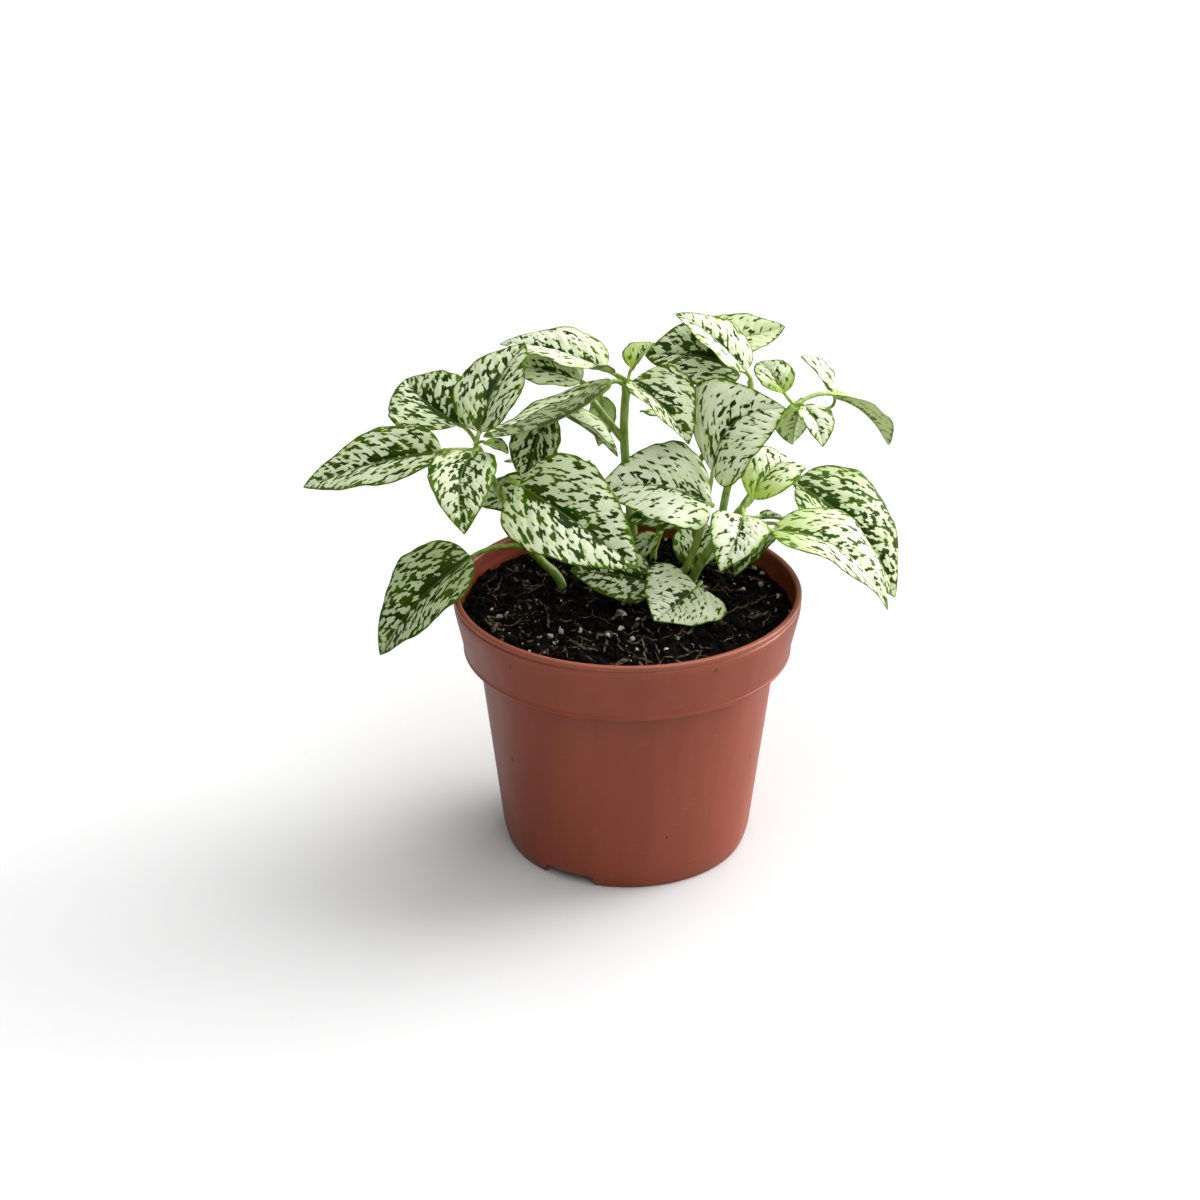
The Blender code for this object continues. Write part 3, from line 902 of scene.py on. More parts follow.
def random_turns(rng: np.random.Generator, count: int) -> Array:
    """Random rotation matrices, from random unit quaternions.

    Args:
        rng: the random numbers.
        count: how many.

    Returns:
        (count, 3, 3).
    """
    w, x, y, z = unit(rng.normal(size=(count, 4))).T
    rows = (
        (1 - 2 * (y * y + z * z), 2 * (x * y - z * w), 2 * (x * z + y * w)),
        (2 * (x * y + z * w), 1 - 2 * (x * x + z * z), 2 * (y * z - x * w)),
        (2 * (x * z - y * w), 2 * (y * z + x * w), 1 - 2 * (x * x + y * y)),
    )
    return np.moveaxis(np.array(rows), -1, 0)


@dataclass(frozen=True)
class Soil:
    """Peat that fills the pot, with crumbs, perlite, fibres and shreds of bark on it.

    The sizes are in millimetres. rings and steps divide the top, and sink is how far it lies
    below the heights of the crown and the edge.
    """

    pot: Pot
    crown: float = 79.0
    edge: float = 76.5
    gap: float = 0.3
    relief: float = 1.0
    crumbs: int = 2400
    perlite: int = 260
    shreds: int = 160
    fibres: int = 70
    rings: int = 84
    steps: int = 288
    sink: float = 0.3
    peat: GrainFinish = GrainFinish(
        "peat", (0.0008, 0.0007, 0.0004, 1), (0.006, 0.0045, 0.0025, 1), (0.045, 0.034, 0.02, 1)
    )
    stone: GrainFinish = GrainFinish(
        "perlite", (0.66, 0.61, 0.46, 1), (0.93, 0.91, 0.80, 1), (0.22, 0.17, 0.11, 1), 1500.0, 0.85, 0.06
    )
    bark: GrainFinish = GrainFinish(
        "bark", (0.012, 0.009, 0.005, 1), (0.22, 0.16, 0.095, 1), (0.012, 0.008, 0.005, 1), 900.0, 0.85, 0.12
    )
    straw: GrainFinish = GrainFinish(
        "straw", (0.08, 0.06, 0.03, 1), (0.42, 0.34, 0.21, 1), (0.07, 0.04, 0.02, 1), 1200.0, 0.7, 0.1
    )

    def reach(self) -> float:
        """The radius of the soil's top."""
        return float(self.pot.inner_radius(self.edge)) - self.gap

    def top(self, x: Array, y: Array) -> Array:
        """The height of the soil at a place.

        It falls from the crown to the edge with the square of the radius, and three sizes of
        lattice noise stand on it.

        Args:
            x: first coordinates.
            y: second coordinates.

        Returns:
            The heights.
        """
        radius = np.hypot(x, y)
        share = radius / float(self.pot.inner_radius(self.edge))
        smooth = self.crown + (self.edge - self.crown) * share**2
        rough = lattice_noise(x, y, 7.0, 1) + 0.6 * lattice_noise(x, y, 2.4, 2)
        rough = rough + 0.4 * lattice_noise(x, y, 1.0, 3)
        return smooth + self.relief * rough - self.sink

    def scatter(self, rng: np.random.Generator, count: int, most: float) -> tuple[Array, Array]:
        """Random places on a disc: the radius goes with the square root of a random share.

        Args:
            rng: the random numbers.
            count: how many.
            most: the disc's radius.

        Returns:
            The first and the second coordinates.
        """
        radius = most * np.sqrt(rng.uniform(0, 1, count))
        angle = rng.uniform(0, 2 * math.pi, count)
        return radius * np.cos(angle), radius * np.sin(angle)

    def bed(self) -> None:
        """The body of the soil: rings of points that follow the top, and then the pot's wall."""
        low = self.pot.floor_underside + self.pot.wall + self.gap
        radii = np.linspace(AXIS_GAP, self.reach(), self.rings)
        step_low, step_high = self.pot.inner_step()
        corner = self.pot.floor_corner
        heights = np.array((self.edge - 2, step_high, step_low, low + corner, low))
        sides = self.pot.inner_radius(heights) - self.gap
        sides[-1] = sides[-1] - corner
        side = np.stack([np.append(sides, AXIS_GAP), np.append(heights, low)], axis=-1)
        profile = np.vstack([np.stack([radii, np.full(self.rings, self.edge)], axis=-1), side])
        shell = Shell.turned(profile, self.steps)
        rows = shell.points[: self.rings * self.steps]
        rows[:, 2] = self.top(rows[:, 0], rows[:, 1])
        bed = shell.piece("soil_bed", [self.peat.material()])
        place(bed, "peat_soil", "soil")

    def grains(self, name: str, finish: GrainFinish, count: int, sizes: Pair, sides: int) -> None:
        """Lumps that lie on the soil.

        Each is a sphere on a grid of two angles, with its points pushed in or out at random,
        flattened along one direction, and turned at random.

        Args:
            name: the piece's name.
            finish: its finish.
            count: how many lumps.
            sizes: the smallest and the largest radius.
            sides: how many points go round a lump.
        """
        rng = np.random.default_rng(count)
        polar = np.linspace(0.16, 0.97, sides - 1) * math.pi
        lump = Shell.turned(np.stack([np.sin(polar), np.cos(polar)], axis=-1), sides)
        x, y = self.scatter(rng, count, self.reach() - sizes[1])
        size = sizes[0] + (sizes[1] - sizes[0]) * rng.uniform(0, 1, (count, 1, 1)) ** 2
        push = 1 + 0.22 * rng.uniform(-1, 1, (count, len(lump.points), 1))
        flat = rng.uniform((0.75, 0.75, 0.5), (1.15, 1.15, 0.95), (count, 3))[:, None]
        points = lump.points[None] * push * flat * size
        points = np.einsum("nij,npj->npi", random_turns(rng, count), points)
        centres = np.stack([x, y, self.top(x, y) + 0.35 * size[:, 0, 0]], axis=-1)
        piece = Shell.copies(points + centres[:, None], lump.faces).piece(name, [finish.material()])
        place(piece, "peat_soil")

    def strands(
        self,
        name: str,
        finish: GrainFinish,
        count: int,
        lengths: Pair,
        widths: Pair,
        flatness: float,
        lift: float,
    ) -> None:
        """Thin strands that lie over the soil.

        A strand runs along a random heading and bends with the square of the way from its middle.
        It follows the soil's top, its ends rise at random, and its width goes to a point with the
        fourth power of that way.

        Args:
            name: the piece's name.
            finish: its finish.
            count: how many strands.
            lengths: the shortest and the longest.
            widths: the smallest and the largest half width.
            flatness: the thickness as a share of the width.
            lift: how far an end may rise.
        """
        places, sides = 9, 6
        rng = np.random.default_rng(count + 7)
        x, y = self.scatter(rng, count, self.reach() - 4)
        heading = rng.uniform(0, 2 * math.pi, count)
        length = rng.uniform(*lengths, count)[:, None]
        share = np.linspace(-0.5, 0.5, places)[None, :]
        bend = rng.normal(0, 0.35, count)[:, None] * share**2 * length
        wiggle = rng.normal(0, 0.05, (count, places)) * length * 0.5
        run = share * length
        sin, cos = np.sin(heading)[:, None], np.cos(heading)[:, None]
        px = x[:, None] + run * cos - (bend + wiggle) * sin
        py = y[:, None] + run * sin + (bend + wiggle) * cos
        inwards = np.minimum(1, (self.reach() - 0.8) / np.hypot(px, py))
        px, py = px * inwards, py * inwards
        rise = rng.uniform(0, lift, (count, 1)) * (share * 2) ** 2
        rise = rise + rng.uniform(-1, 1, (count, 1)) * lift * share
        width = rng.uniform(*widths, count)[:, None] * (1.02 - (2 * np.abs(share)) ** 4)
        pz = np.minimum(self.top(px, py), self.crown) + np.abs(rise) + 0.8 + width * flatness
        angle = np.linspace(0, 2 * math.pi, sides, endpoint=False)
        oval = 1 / np.sqrt(np.cos(angle) ** 2 + (np.sin(angle) / flatness) ** 2)
        paths = np.stack([px, py, pz], axis=-1)
        across = np.stack([-sin, cos, rng.normal(0, 0.4, (count, 1))], axis=-1)
        shell = Shell.tubes(paths, width[..., None] * oval, across, sides)
        place(shell.piece(name, [finish.material()]), "peat_soil")

    def build(self) -> None:
        """The bed and everything on it."""
        self.bed()
        self.grains("peat_crumbs", self.peat, self.crumbs, (0.3, 1.7), 7)
        self.grains("perlite_grains", self.stone, self.perlite, (0.3, 1.15), 9)
        self.strands("bark_shreds", self.bark, self.shreds, (2.5, 9.0), (0.25, 0.75), 0.45, 1.6)
        self.strands("root_fibres", self.straw, self.fibres, (4.0, 12.0), (0.06, 0.13), 1.0, 1.8)


# The plant.


class Tone(Enum):
    """How a leaf is coloured: the share of dots, how young its base looks, and how pale green it is."""

    WHITE = (0.21, 0.2, 0.06)
    SPLASHED = (0.36, 0.25, 0.22)
    DEEP = (0.41, 0.2, 0.30)
    # GREEN, on the low and inner leaves, gives more and darker green marks: partly the leaves' own green,
    # partly painted shade.
    GREEN = (0.45, 0.25, 0.42)
    FRESH = (0.28, 0.6, 0.15)
    BUDDING = (0.24, 0.9, 0.08)
    YOUNG = (0.16, 1.0, 0.85)
    # PALE, on the leaves at the back, gives few marks and a pale yellow-green ground: a painted glow of the
    # light shining through them.
    PALE = (0.14, 0.5, 0.45)


@dataclass(frozen=True)
class Stem:
    """A stem: its radius, the points that its centre line runs through, and where it forks off."""

    radius: float
    route: tuple[Point, ...]
    fork: Point | None = None

    def path(self) -> Array:
        """The smooth centre line."""
        return smooth_curve(self.route, 12)

    def shell(self, nodes: list[float]) -> Shell:
        """The stem's tube.

        Its radius shrinks by a fifth towards the tip, swells by a bell curve at each node, has
        four soft corners, and closes in a dome.

        Args:
            nodes: the shares of the length at which leaves stand.

        Returns:
            The tube.
        """
        path = self.path() if self.fork is None else smooth_curve((self.fork, *self.route), 12)
        reached = travelled(path)
        total = reached[-1]
        own = reached - (total - np.linalg.norm(np.diff(self.path(), axis=0), axis=1).sum())
        centres = np.array(nodes or [2.0])[:, None] * total
        swell = 1 + 0.32 * np.exp(-(((own - centres) / 1.3) ** 2)).max(axis=0)
        tip = np.clip((reached - total + self.radius) / self.radius, 0, 0.98)
        dome = np.sqrt(1 - tip**2)
        radius = self.radius * (1 - 0.2 * reached / total) * swell * dome
        sides = 20
        corners = 1 + 0.05 * np.cos(4 * np.linspace(0, 2 * math.pi, sides, endpoint=False))
        radii = radius[None, :, None] * corners
        return Shell.tubes(path[None], radii, np.array((1.0, 0.1, 0)), sides)


# How every blade is made, in millimetres and in shares of half its width: its grid, the number
# and the slant of its side veins, and its relief.
BLADE_ROWS, BLADE_COLUMNS = 73, 37
BLADE_THICKNESS = 0.36
SIDE_VEINS = 8.5
VEIN_LEAN, VEIN_CURVE = 0.75, 0.018
DOME_SHARE, QUILT_SHARE, RIPPLE_SHARE = 0.075, 0.028, 0.05
GROOVE_DEPTH, GROOVE_WIDTH = 0.3, 0.55
CRINKLE_HEIGHT, CRINKLE_CELL = 0.12, 1.7
STALK_PULL = 0.45


@dataclass(frozen=True)
class Leaf:
    """A leaf's place and look.

    base and tip are the ends of the blade's midrib. roll turns the blade about it, with 0 for an
    upper side that faces up. arch and sweep bow it up and sideways, as a share of its length. fold
    lifts both halves, in degrees, and roundness is the power of the outline at the base.
    """

    stem: str
    height: float
    base: Point
    tip: Point
    width: float
    roll: float
    arch: float = 0.07
    sweep: float = 0.0
    fold: float = 12.0
    roundness: float = 0.5
    tone: Tone = Tone.SPLASHED

    def axes(self) -> tuple[float, Array, Array, Array]:
        """The blade's own directions.

        Returns:
            Its length, and the directions ahead, up and to the right.
        """
        base, tip = np.array(self.base, float), np.array(self.tip, float)
        length = float(np.linalg.norm(tip - base))
        ahead = (tip - base) / length
        level_up = unit(np.array((0, 0, 1.0)) - ahead[2] * ahead)
        roll = math.radians(self.roll)
        up = math.cos(roll) * level_up + math.sin(roll) * np.cross(ahead, level_up)
        return length, ahead, up, np.cross(ahead, up)

    def half_widths(self, place_along: Array, rng: np.random.Generator) -> Array:
        """Half the blade's width along the midrib.

        It is t^roundness * (1 - t)^0.85, scaled to the blade's width, with a wave of a few
        percent on it and a short run into the stalk at the base.

        Args:
            place_along: the places t.
            rng: the random numbers.

        Returns:
            The half widths.
        """
        tip_power = 0.85
        widest = self.roundness / (self.roundness + tip_power)
        highest = widest**self.roundness * (1 - widest) ** tip_power
        share = place_along**self.roundness * (1 - place_along) ** tip_power / highest
        phase = rng.uniform(0, 2 * math.pi, 2)
        wave = 0.014 * np.sin(26 * place_along + phase[0]) + 0.01 * np.sin(47 * place_along + phase[1])
        return self.width / 2 * share * (1 + wave) + 0.45 * (1 - place_along) ** 14 + 0.03

    def surface(self, seed: int) -> tuple[Array, Array, dict[str, Array]]:
        """The blade's upper surface.

        The midrib bows by 4 t (1 - t). Each half rises with the fold, domes by a sine across it,
        rises between two side veins and sinks on them, ripples at the margin, crinkles by lattice
        noise, and has a groove on the midrib in the form of a bell curve.

        Args:
            seed: picks the ripples.

        Returns:
            The points (rows, columns, 3), their normals, and the values for the finish.
        """
        rng = np.random.default_rng(seed)
        length, ahead, up, right = self.axes()
        t = (0.5 - 0.5 * np.cos(np.linspace(0, math.pi, BLADE_ROWS)))[:, None]
        v = np.linspace(-1, 1, BLADE_COLUMNS)[None, :]
        half = self.half_widths(t, rng)
        y = v * half
        side = length * t - VEIN_LEAN * np.abs(y) - VEIN_CURVE * y**2
        phase = side * SIDE_VEINS / length + np.where(v > 0, 0.45, 0.0)
        bow = 4 * t * (1 - t)
        bend = self.arch * up + self.sweep * right
        midrib = np.array(self.base, float) + length * (t * ahead + bow * bend)
        fold = math.radians(self.fold)
        soft = (np.sqrt(v**2 + 0.0144) - 0.12) / (math.sqrt(1.0144) - 0.12)
        middle = np.sin(math.pi * np.abs(v) ** 0.8)
        ripple_phase = rng.uniform(0, 2 * math.pi, 2)
        ripple = np.where(v > 0, np.sin(13 * t + ripple_phase[0]), np.sin(15 * t + ripple_phase[1]))
        rise = soft * half * math.sin(fold)
        rise = rise + half * DOME_SHARE * middle
        rise = rise + QUILT_SHARE * half * middle * (0.5 - 0.5 * np.cos(2 * math.pi * phase))
        rise = rise + RIPPLE_SHARE * half * np.abs(v) ** 3 * ripple
        rise = rise - GROOVE_DEPTH * np.exp(-((y / GROOVE_WIDTH) ** 2)) * np.minimum(1, half / 3)
        rise = rise + CRINKLE_HEIGHT * lattice_noise(side + 40 * seed, y + 90, CRINKLE_CELL, 11) * middle
        points = midrib[:, None] + (y * math.cos(fold))[..., None] * right + rise[..., None] * up
        normal = unit(np.cross(np.gradient(points, axis=1), np.gradient(points, axis=0)))
        edge = half * (1 - np.abs(v))
        one = np.ones_like(y)
        values = {
            "blade": np.stack([side + 60 * seed, y, edge], axis=-1),
            "vein": np.stack([phase, t * one, 0 * one], axis=-1),
            "tone": np.broadcast_to(self.tone.value, (*y.shape, 3)),
            "reach": np.stack([one * self.width / 2, half * one, 0 * one], axis=-1),
        }
        return points, normal, values

    def shells(self, seed: int, stem: Stem) -> tuple[Shell, Shell]:
        """The blade, and the stalk that runs on under it as the midrib.

        The blade's underside lies below the top by a thickness that goes to nothing at the margin
        with the square root of 1 - v^2. The stalk is a quadratic curve from the stem to the base,
        and then follows the underside while its radius shrinks.

        Args:
            seed: picks the ripples and the markings.
            stem: the stem that bears the leaf.

        Returns:
            The two shells.
        """
        points, normal, values = self.surface(seed)
        rows, columns = points.shape[:2]
        half = values["reach"][..., 1]
        v = np.linspace(-1, 1, columns)[None, :]
        thick = np.minimum(BLADE_THICKNESS, 0.7 * half) * np.sqrt(1 - v**2)
        under = points - thick[..., None] * normal
        ring = np.concatenate([points, under[:, -2:0:-1]], axis=1)
        sides = ring.shape[1]
        faces = grid_faces(rows, sides, wrap=True)
        caps = np.array([np.arange(sides)[::-1], (rows - 1) * sides + np.arange(sides)])
        marks = {key: np.concatenate([value, value[:, -2:0:-1]], axis=1) for key, value in values.items()}
        marks["vein"][:, columns:, 2] = 1
        marks = {key: value.reshape(-1, 3) for key, value in marks.items()}
        blade = Shell(ring.reshape(-1, 3), [faces, caps], marks)

        length, ahead, up, right = self.axes()
        foot, base = along(stem.path(), self.height), np.array(self.base, float)
        start = unit(ahead + 4 * (self.arch * up + self.sweep * right))
        middle = base - start * np.linalg.norm(base - foot) * STALK_PULL
        share = np.linspace(0, 1, 16, endpoint=False)[:, None]
        stalk = (1 - share) ** 2 * foot + 2 * share * (1 - share) * middle + share**2 * base
        t = values["vein"][::3, 0, 1]
        stout = 0.36 + 0.0085 * length
        rib_radius = (0.1 + (stout - 0.1) * (1 - t) ** 1.3) * (0.35 + 0.65 * (1 - t) ** 6)
        sunk = rib_radius * 0.75 * smoothstep(t, 0, 0.12)
        centre = columns // 2
        rib = under[::3, centre] - sunk[:, None] * normal[::3, centre] * 0.5
        radii = np.concatenate([stout * (1.12 - 0.12 * share[:, 0]), rib_radius])
        path = np.vstack([stalk, rib])
        return blade, Shell.tubes(path[None], radii[None, :, None], right, 10, slot=1)


STEMS = {
    "left_stem": Stem(
        1.4,
        (
            (-20, 10, 62), (-20, 10, 79), (-26, 12, 86), (-30, 10, 92),
            (-38, 6, 111), (-42, 3, 121), (-45, 1, 129),
        ),
    ),
    "middle_stem": Stem(
        1.5,
        ((3, 16, 62), (3, 16, 78), (1, 16, 100), (-1, 16, 122), (-1, 17, 135), (0, 18, 143)),
    ),
    "upper_left_stem": Stem(1.2, ((-3.4, 16.5, 127), (-8, 17, 133), (-12, 19, 138)), (-1, 16.2, 124)),
    "right_stem": Stem(
        1.5,
        ((19, 10, 62), (19, 10, 78), (23, 6, 90), (27, 3, 98), (32, 0, 106), (34, -3, 111)),
    ),
    "front_stem": Stem(1.3, ((14, 7, 62), (14, 7, 78), (18, 5, 88), (21, 3, 98), (24, 3, 112))),
    "far_right_stem": Stem(
        1.2,
        ((28, 6, 100), (29, 11, 106), (31, 15, 113), (35, 17, 122), (44, 20, 128), (50, 23, 133)),
        (27, 3, 97.5),
    ),
    "crown_stem": Stem(
        1.1,
        (
            (8, 30, 62), (8, 30, 79), (9, 31, 84), (15, 33, 100),
            (28, 26, 122), (36, 20, 135), (36.5, 19, 143),
        ),
    ),
    "back_stem": Stem(1.3, ((-9, 29, 62), (-9, 29, 78), (-10, 34, 94), (-12, 38, 108))),
}

LEAVES = {
    "left_leaf_outer": Leaf("left_stem", 0.97, (-55, -1, 128), (-97, 6, 113), 23, -28, 0.0, 0.05),
    "left_leaf_rear": Leaf(
        "left_stem", 0.95, (-50, 12, 131), (-68, 38, 135), 27, -22, 0.03, -0.06, tone=Tone.DEEP
    ),
    "left_leaf_upright": Leaf("left_stem", 1.0, (-44, 4, 132), (-31, 25, 152), 25, -7, 0.05, -0.04),
    "left_leaf_hanging": Leaf("left_stem", 0.98, (-45, -4, 129), (-47, -29, 114), 20, -6, 0.14, 0.1),
    "left_leaf_young": Leaf("left_stem", 1.0, (-42, -1, 131), (-35, -5, 129), 7, 0, tone=Tone.YOUNG),
    "left_leaf_low": Leaf(
        "left_stem", 0.45, (-47, 2, 92), (-75, -4, 62), 30, -20, 0.08, 0.01, 12, 0.42, tone=Tone.GREEN
    ),
    "left_leaf_inner": Leaf("middle_stem", 0.45, (-26, 20, 106), (-46, 16, 103), 14, -35, tone=Tone.GREEN),
    "upper_left_leaf_long": Leaf("middle_stem", 0.97, (-6, 12, 144), (-42, -11, 137), 26, 25, -0.08, 0.0, 25),
    "upper_left_leaf_white": Leaf(
        "upper_left_stem", 1.0, (-14, 22, 141), (-38, 31, 142), 19, -14, 0.08, -0.02, tone=Tone.WHITE
    ),
    "upper_left_leaf_hanging": Leaf(
        "upper_left_stem", 0.95, (-24, 16, 134), (-30, 11, 111), 17, -22, 0.09, tone=Tone.DEEP
    ),
    "upper_left_leaf_folded": Leaf(
        "upper_left_stem", 0.9, (-18, 20, 131), (-3, 21, 117), 13, 3, 0.06, 0.04, 25, tone=Tone.WHITE
    ),
    "top_leaf_left": Leaf("middle_stem", 0.99, (-7, 22, 145), (-39, 37, 147), 23, -4, tone=Tone.WHITE),
    "top_leaf_bud": Leaf("middle_stem", 1.0, (-4, 16, 146), (-11, 15, 148), 5, 40, tone=Tone.YOUNG),
    "top_leaf_young": Leaf(
        "middle_stem", 1.0, (1, 20, 146), (8, 28, 151), 11, -8, 0.07, 0.0, 30, tone=Tone.YOUNG
    ),
    "middle_leaf_folded": Leaf("middle_stem", 0.98, (1, 12, 145), (18, 0, 130), 25, 5, 0.1, 0.0, 28, 0.4),
    "front_leaf_large": Leaf("left_stem", 0.75, (-32, -9, 121), (3, -28, 103), 33, 40, 0.12, 0.02, 12, 0.38),
    "front_leaf_wide": Leaf(
        "front_stem", 0.97, (24.5, -2, 111.5), (-9, -5, 117.5), 29, -38, 0.12, 0.05, 12, 0.42, tone=Tone.WHITE
    ),
    "front_leaf_low": Leaf("front_stem", 0.37, (7, 2, 84), (-17, -5, 91), 19, -45, tone=Tone.DEEP),
    "front_leaf_soil": Leaf(
        "right_stem", 0.3, (21, -1, 84), (8, -20, 82), 28, -24, -0.03, 0.0, 12, 0.36, tone=Tone.WHITE
    ),
    "inner_leaf_standing": Leaf("right_stem", 0.33, (20, 14, 83), (22, 30, 92), 15, 8, 0.1),
    "inner_leaf_curled": Leaf("middle_stem", 0.3, (9, 12, 95), (1, 9, 86), 9, -20, 0.1, tone=Tone.FRESH),
    "inner_leaf_tucked": Leaf("front_stem", 0.85, (19, 6, 103), (0, 5, 103), 12, -30, 0.1, tone=Tone.GREEN),
    "centre_leaf_large": Leaf(
        "front_stem", 1.0, (25, 2, 120), (46, -1, 142), 33, 48, 0.1, -0.2, 12, 0.55, tone=Tone.WHITE
    ),
    "crown_leaf_left": Leaf(
        "crown_stem", 1.0, (34, 24, 144), (5, 28, 147), 26, -32, 0.07, 0.05, tone=Tone.DEEP
    ),
    "crown_leaf_front": Leaf("crown_stem", 1.0, (35, 18, 146), (14, 29, 160), 20, -1, tone=Tone.WHITE),
    "crown_leaf_rear": Leaf(
        "crown_stem", 0.93, (23, 40, 146), (48, 50, 148), 19, 22, -0.06, -0.04, tone=Tone.PALE
    ),
    "right_leaf_upright": Leaf(
        "right_stem", 1.0, (37, -1, 113), (52, 22, 113), 19, 16, 0.22, -0.06, tone=Tone.BUDDING
    ),
    "right_leaf_hanging": Leaf(
        "right_stem", 1.0, (34, -7, 110), (27, -28, 102), 18, -11, 0.15, -0.05, tone=Tone.WHITE
    ),
    "right_leaf_front": Leaf(
        "right_stem", 0.95, (43, -4, 104), (78, -8, 80), 28, 10, 0.13, -0.1, tone=Tone.FRESH
    ),
    "right_leaf_outer": Leaf(
        "right_stem", 0.9, (51, 19, 109), (83, 23, 69), 30, 40, 0.11, -0.03, 12, 0.42, tone=Tone.DEEP
    ),
    "right_leaf_under": Leaf("right_stem", 0.8, (44, 5, 100), (32, -2, 88), 13, 0, tone=Tone.GREEN),
    "right_leaf_small": Leaf("right_stem", 0.93, (40, 6, 104), (49, 11, 100), 7, 0, tone=Tone.GREEN),
    "far_right_leaf_young": Leaf(
        "far_right_stem", 1.0, (47, 26, 136), (40, 41, 140), 12, -10, 0.11, tone=Tone.BUDDING
    ),
    "far_right_leaf_hanging": Leaf(
        "far_right_stem", 1.0, (53, 20, 134), (58, 10, 125), 12, -7, 0.16, tone=Tone.WHITE
    ),
    "far_right_leaf_pale": Leaf(
        "far_right_stem", 0.97, (62, 42, 131), (53, 46, 140), 16, 13, 0.05, tone=Tone.WHITE
    ),
    "far_right_leaf_trailing": Leaf(
        "far_right_stem", 1.0, (63, 34, 132), (81, 45, 111), 18, -4, 0.09, tone=Tone.PALE
    ),
    "far_right_leaf_round": Leaf(
        "far_right_stem", 0.9, (53, 42, 125), (51, 47, 110), 15, 0, 0.07, tone=Tone.PALE
    ),
    "back_leaf_thin": Leaf(
        "upper_left_stem", 1.0, (-8, 35, 131), (-9, 38, 113), 9, 40, 0.05, tone=Tone.PALE
    ),
    "back_leaf_left": Leaf("back_stem", 1.0, (-15, 43, 100), (-39, 54, 101), 20, 10),
    "back_leaf_middle": Leaf("back_stem", 0.9, (-10, 46, 95), (-6, 71, 82), 23, 5),
    "back_leaf_low_left": Leaf("back_stem", 0.7, (-20, 42, 92), (-44, 62, 82), 24, 0),
    "back_leaf_low_right": Leaf("crown_stem", 0.5, (9, 42, 98), (23, 64, 90), 20, 0),
    "back_leaf_right": Leaf("crown_stem", 0.65, (34, 36, 106), (58, 54, 92), 22, 0),
    "back_leaf_upper": Leaf("crown_stem", 0.75, (20, 41, 120), (6, 62, 114), 21, 0),
}


@dataclass(frozen=True)
class Plant:
    """The stems and the leaves, each leaf one piece with its stalk."""

    stems: dict[str, Stem]
    leaves: dict[str, Leaf]
    leaf_finish: LeafFinish = LeafFinish("leaf_blade_surface")
    stem_finish: StemFinish = StemFinish("stem_skin_surface")

    def build(self) -> None:
        """Builds every stem and every leaf."""
        leaf_material, stem_material = self.leaf_finish.material(), self.stem_finish.material()
        for name, stem in self.stems.items():
            nodes = [leaf.height for leaf in self.leaves.values() if leaf.stem == name]
            place(stem.shell(nodes).piece(f"{name}_skin", [stem_material]), "stem_skin", name)
        for seed, (name, leaf) in enumerate(self.leaves.items(), start=1):
            blade, stalk = leaf.shells(seed, self.stems[leaf.stem])
            place(blade.piece(f"{name}_blade", [leaf_material, stem_material], stalk), "leaf_blade", name)


# The studio.


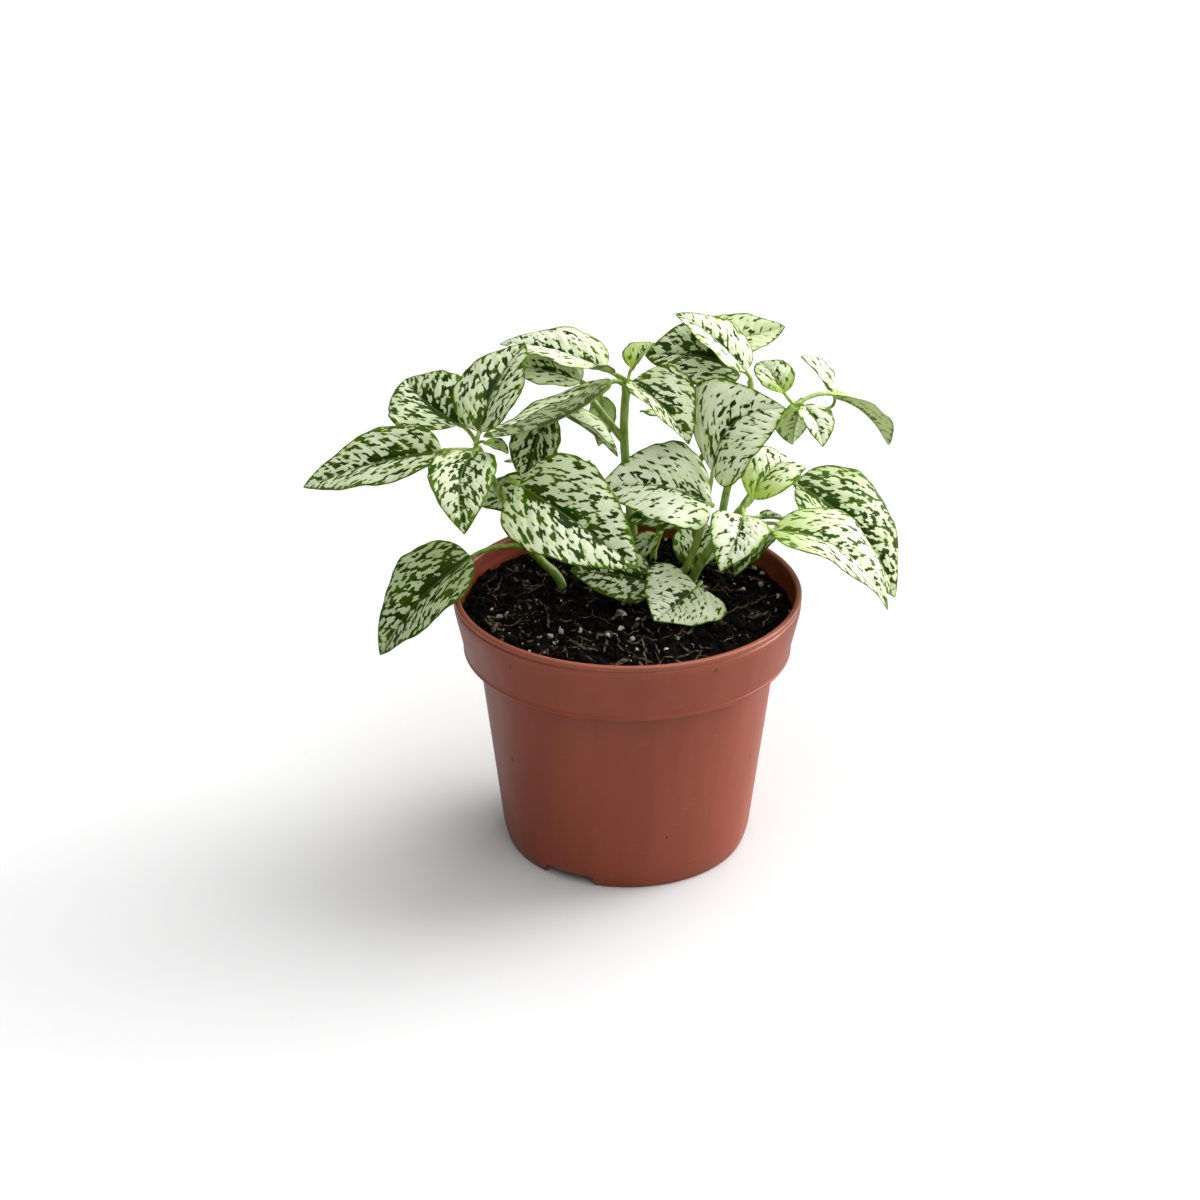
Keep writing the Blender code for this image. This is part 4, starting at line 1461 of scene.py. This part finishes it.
@dataclass(frozen=True)
class Studio:
    """A white floor, soft daylight from the right and behind, and the camera. Lengths in metres.

    Args:
        camera_place: where the camera stands.
        pitch: how far it looks down, in degrees.
        swing: how far it is turned to the left, in degrees.
        lens: its focal length in millimetres.
        sensor: its sensor's width in millimetres.
        key_from: the direction that the key light comes from.
        key_strength: the key light's strength.
        key_size: its angle in the sky, in degrees.
        fill_from: the direction that the fill light comes from.
        fill_strength: the fill light's strength.
        fill_size: its angle in the sky, in degrees.
        side_from: the direction that the low side light comes from.
        side_strength: the side light's strength.
        side_size: its angle in the sky, in degrees.
        sky_low: the strength of the light from the horizon.
        sky_top: the strength of the light from straight above.
        sky_right: how much stronger the light from the right is, as a share.
        floor_reach: half the floor's side, in millimetres.
        floor_paint: the two whites of the floor, as the camera sees them.
        floor_bounce: the floor's white for the light that it throws back.
    """

    camera_place: Point = (0.0, -0.813, 0.477)
    pitch: float = 26.09
    swing: float = 0.58
    lens: float = 90.0
    sensor: float = 36.0
    key_from: Point = (0.70, 0.62, 0.85)
    key_strength: float = 2.25
    key_size: float = 60.0
    fill_from: Point = (0.30, -0.60, 1.2)
    fill_strength: float = 1.4
    fill_size: float = 90.0
    side_from: Point = (0.90, 0.40, 0.12)
    side_strength: float = 4.9
    side_size: float = 50.0
    sky_low: float = 0.06
    sky_top: float = 0.57
    sky_right: float = 0.95
    floor_reach: float = 6000.0
    floor_paint: tuple[Colour, Colour] = ((0.71, 0.71, 0.71, 1), (0.72, 0.72, 0.72, 1))
    floor_bounce: Colour = (0.46, 0.46, 0.46, 1)

    def floor(self) -> None:
        """A wide level square under the pot."""
        side = np.linspace(-self.floor_reach, self.floor_reach, 2)
        x, y = np.meshgrid(side, side)
        shell = Shell(np.stack([x, y, 0 * x - 0.05], axis=-1).reshape(-1, 3), [grid_faces(2, 2)])
        material, graph, shader, place_at = new_material("floor_white")
        mottle = graph.group(Groups.mottle, Vector=place_at, Scale=6.0, Grain=0.2)
        paint = graph.blend(mottle.outputs["Value"], *self.floor_paint)
        seen = graph.node("ShaderNodeLightPath").outputs["Is Camera Ray"]
        graph.feed(shader.inputs["Base Color"], graph.blend(seen, self.floor_bounce, paint))
        shader.inputs["Roughness"].default_value = 0.9
        shader.inputs["Specular IOR Level"].default_value = 0.0
        floor = shell.piece("floor", [material])

    def lights(self) -> None:
        """The key, fill and side lights, and a sky that is brighter above and to the right."""
        rows = (
            ("key", self.key_from, self.key_strength, self.key_size),
            ("fill", self.fill_from, self.fill_strength, self.fill_size),
            ("side", self.side_from, self.side_strength, self.side_size),
        )
        for name, origin, strength, size in rows:
            data = bpy.data.lights.new(name, "SUN")
            data.energy, data.angle = strength, math.radians(size)
            light = bpy.data.objects.new(name, data)
            light.rotation_euler = Vector(origin).to_track_quat("Z", "Y").to_euler()
            bpy.context.scene.collection.objects.link(light)
        world = bpy.data.worlds.new("white_room")
        world.use_nodes = True
        graph = Graph(world.node_tree)
        background = world.node_tree.nodes["Background"]
        direction = graph.node("ShaderNodeTexCoord").outputs["Generated"]
        right, _, height = graph.apart(direction)
        glow = graph.ramp(height, 0.05, 0.9, self.sky_low, self.sky_top)
        glow = graph.times(glow, graph.math("MULTIPLY_ADD", right, self.sky_right, 1.0))
        seen = graph.node("ShaderNodeLightPath").outputs["Is Camera Ray"]
        strength = graph.math("MAXIMUM", seen, glow)
        graph.feed(background.inputs["Strength"], strength)
        background.inputs["Color"].default_value = (1, 1, 1, 1)
        bpy.context.scene.world = world

    def camera(self) -> None:
        """The camera that the scene is seen through."""
        data = bpy.data.cameras.new("camera")
        data.lens, data.sensor_width = self.lens, self.sensor
        camera = bpy.data.objects.new("camera", data)
        camera.location = self.camera_place
        camera.rotation_euler = (math.radians(90 - self.pitch), 0, math.radians(self.swing))
        bpy.context.scene.collection.objects.link(camera)
        bpy.context.scene.camera = camera

    def build(self) -> None:
        """Builds the studio."""
        self.floor()
        self.lights()
        self.camera()
        bpy.context.scene.view_settings.view_transform = "Standard"


def main() -> None:
    """Builds the pot, the soil, the plant and the studio."""
    logging.basicConfig(level=logging.INFO, format="%(message)s")
    Groups.build()
    pot = Pot()
    pot.build()
    Soil(pot).build()
    Plant(STEMS, LEAVES).build()
    Studio().build()


if __name__ == "__main__":
    main()
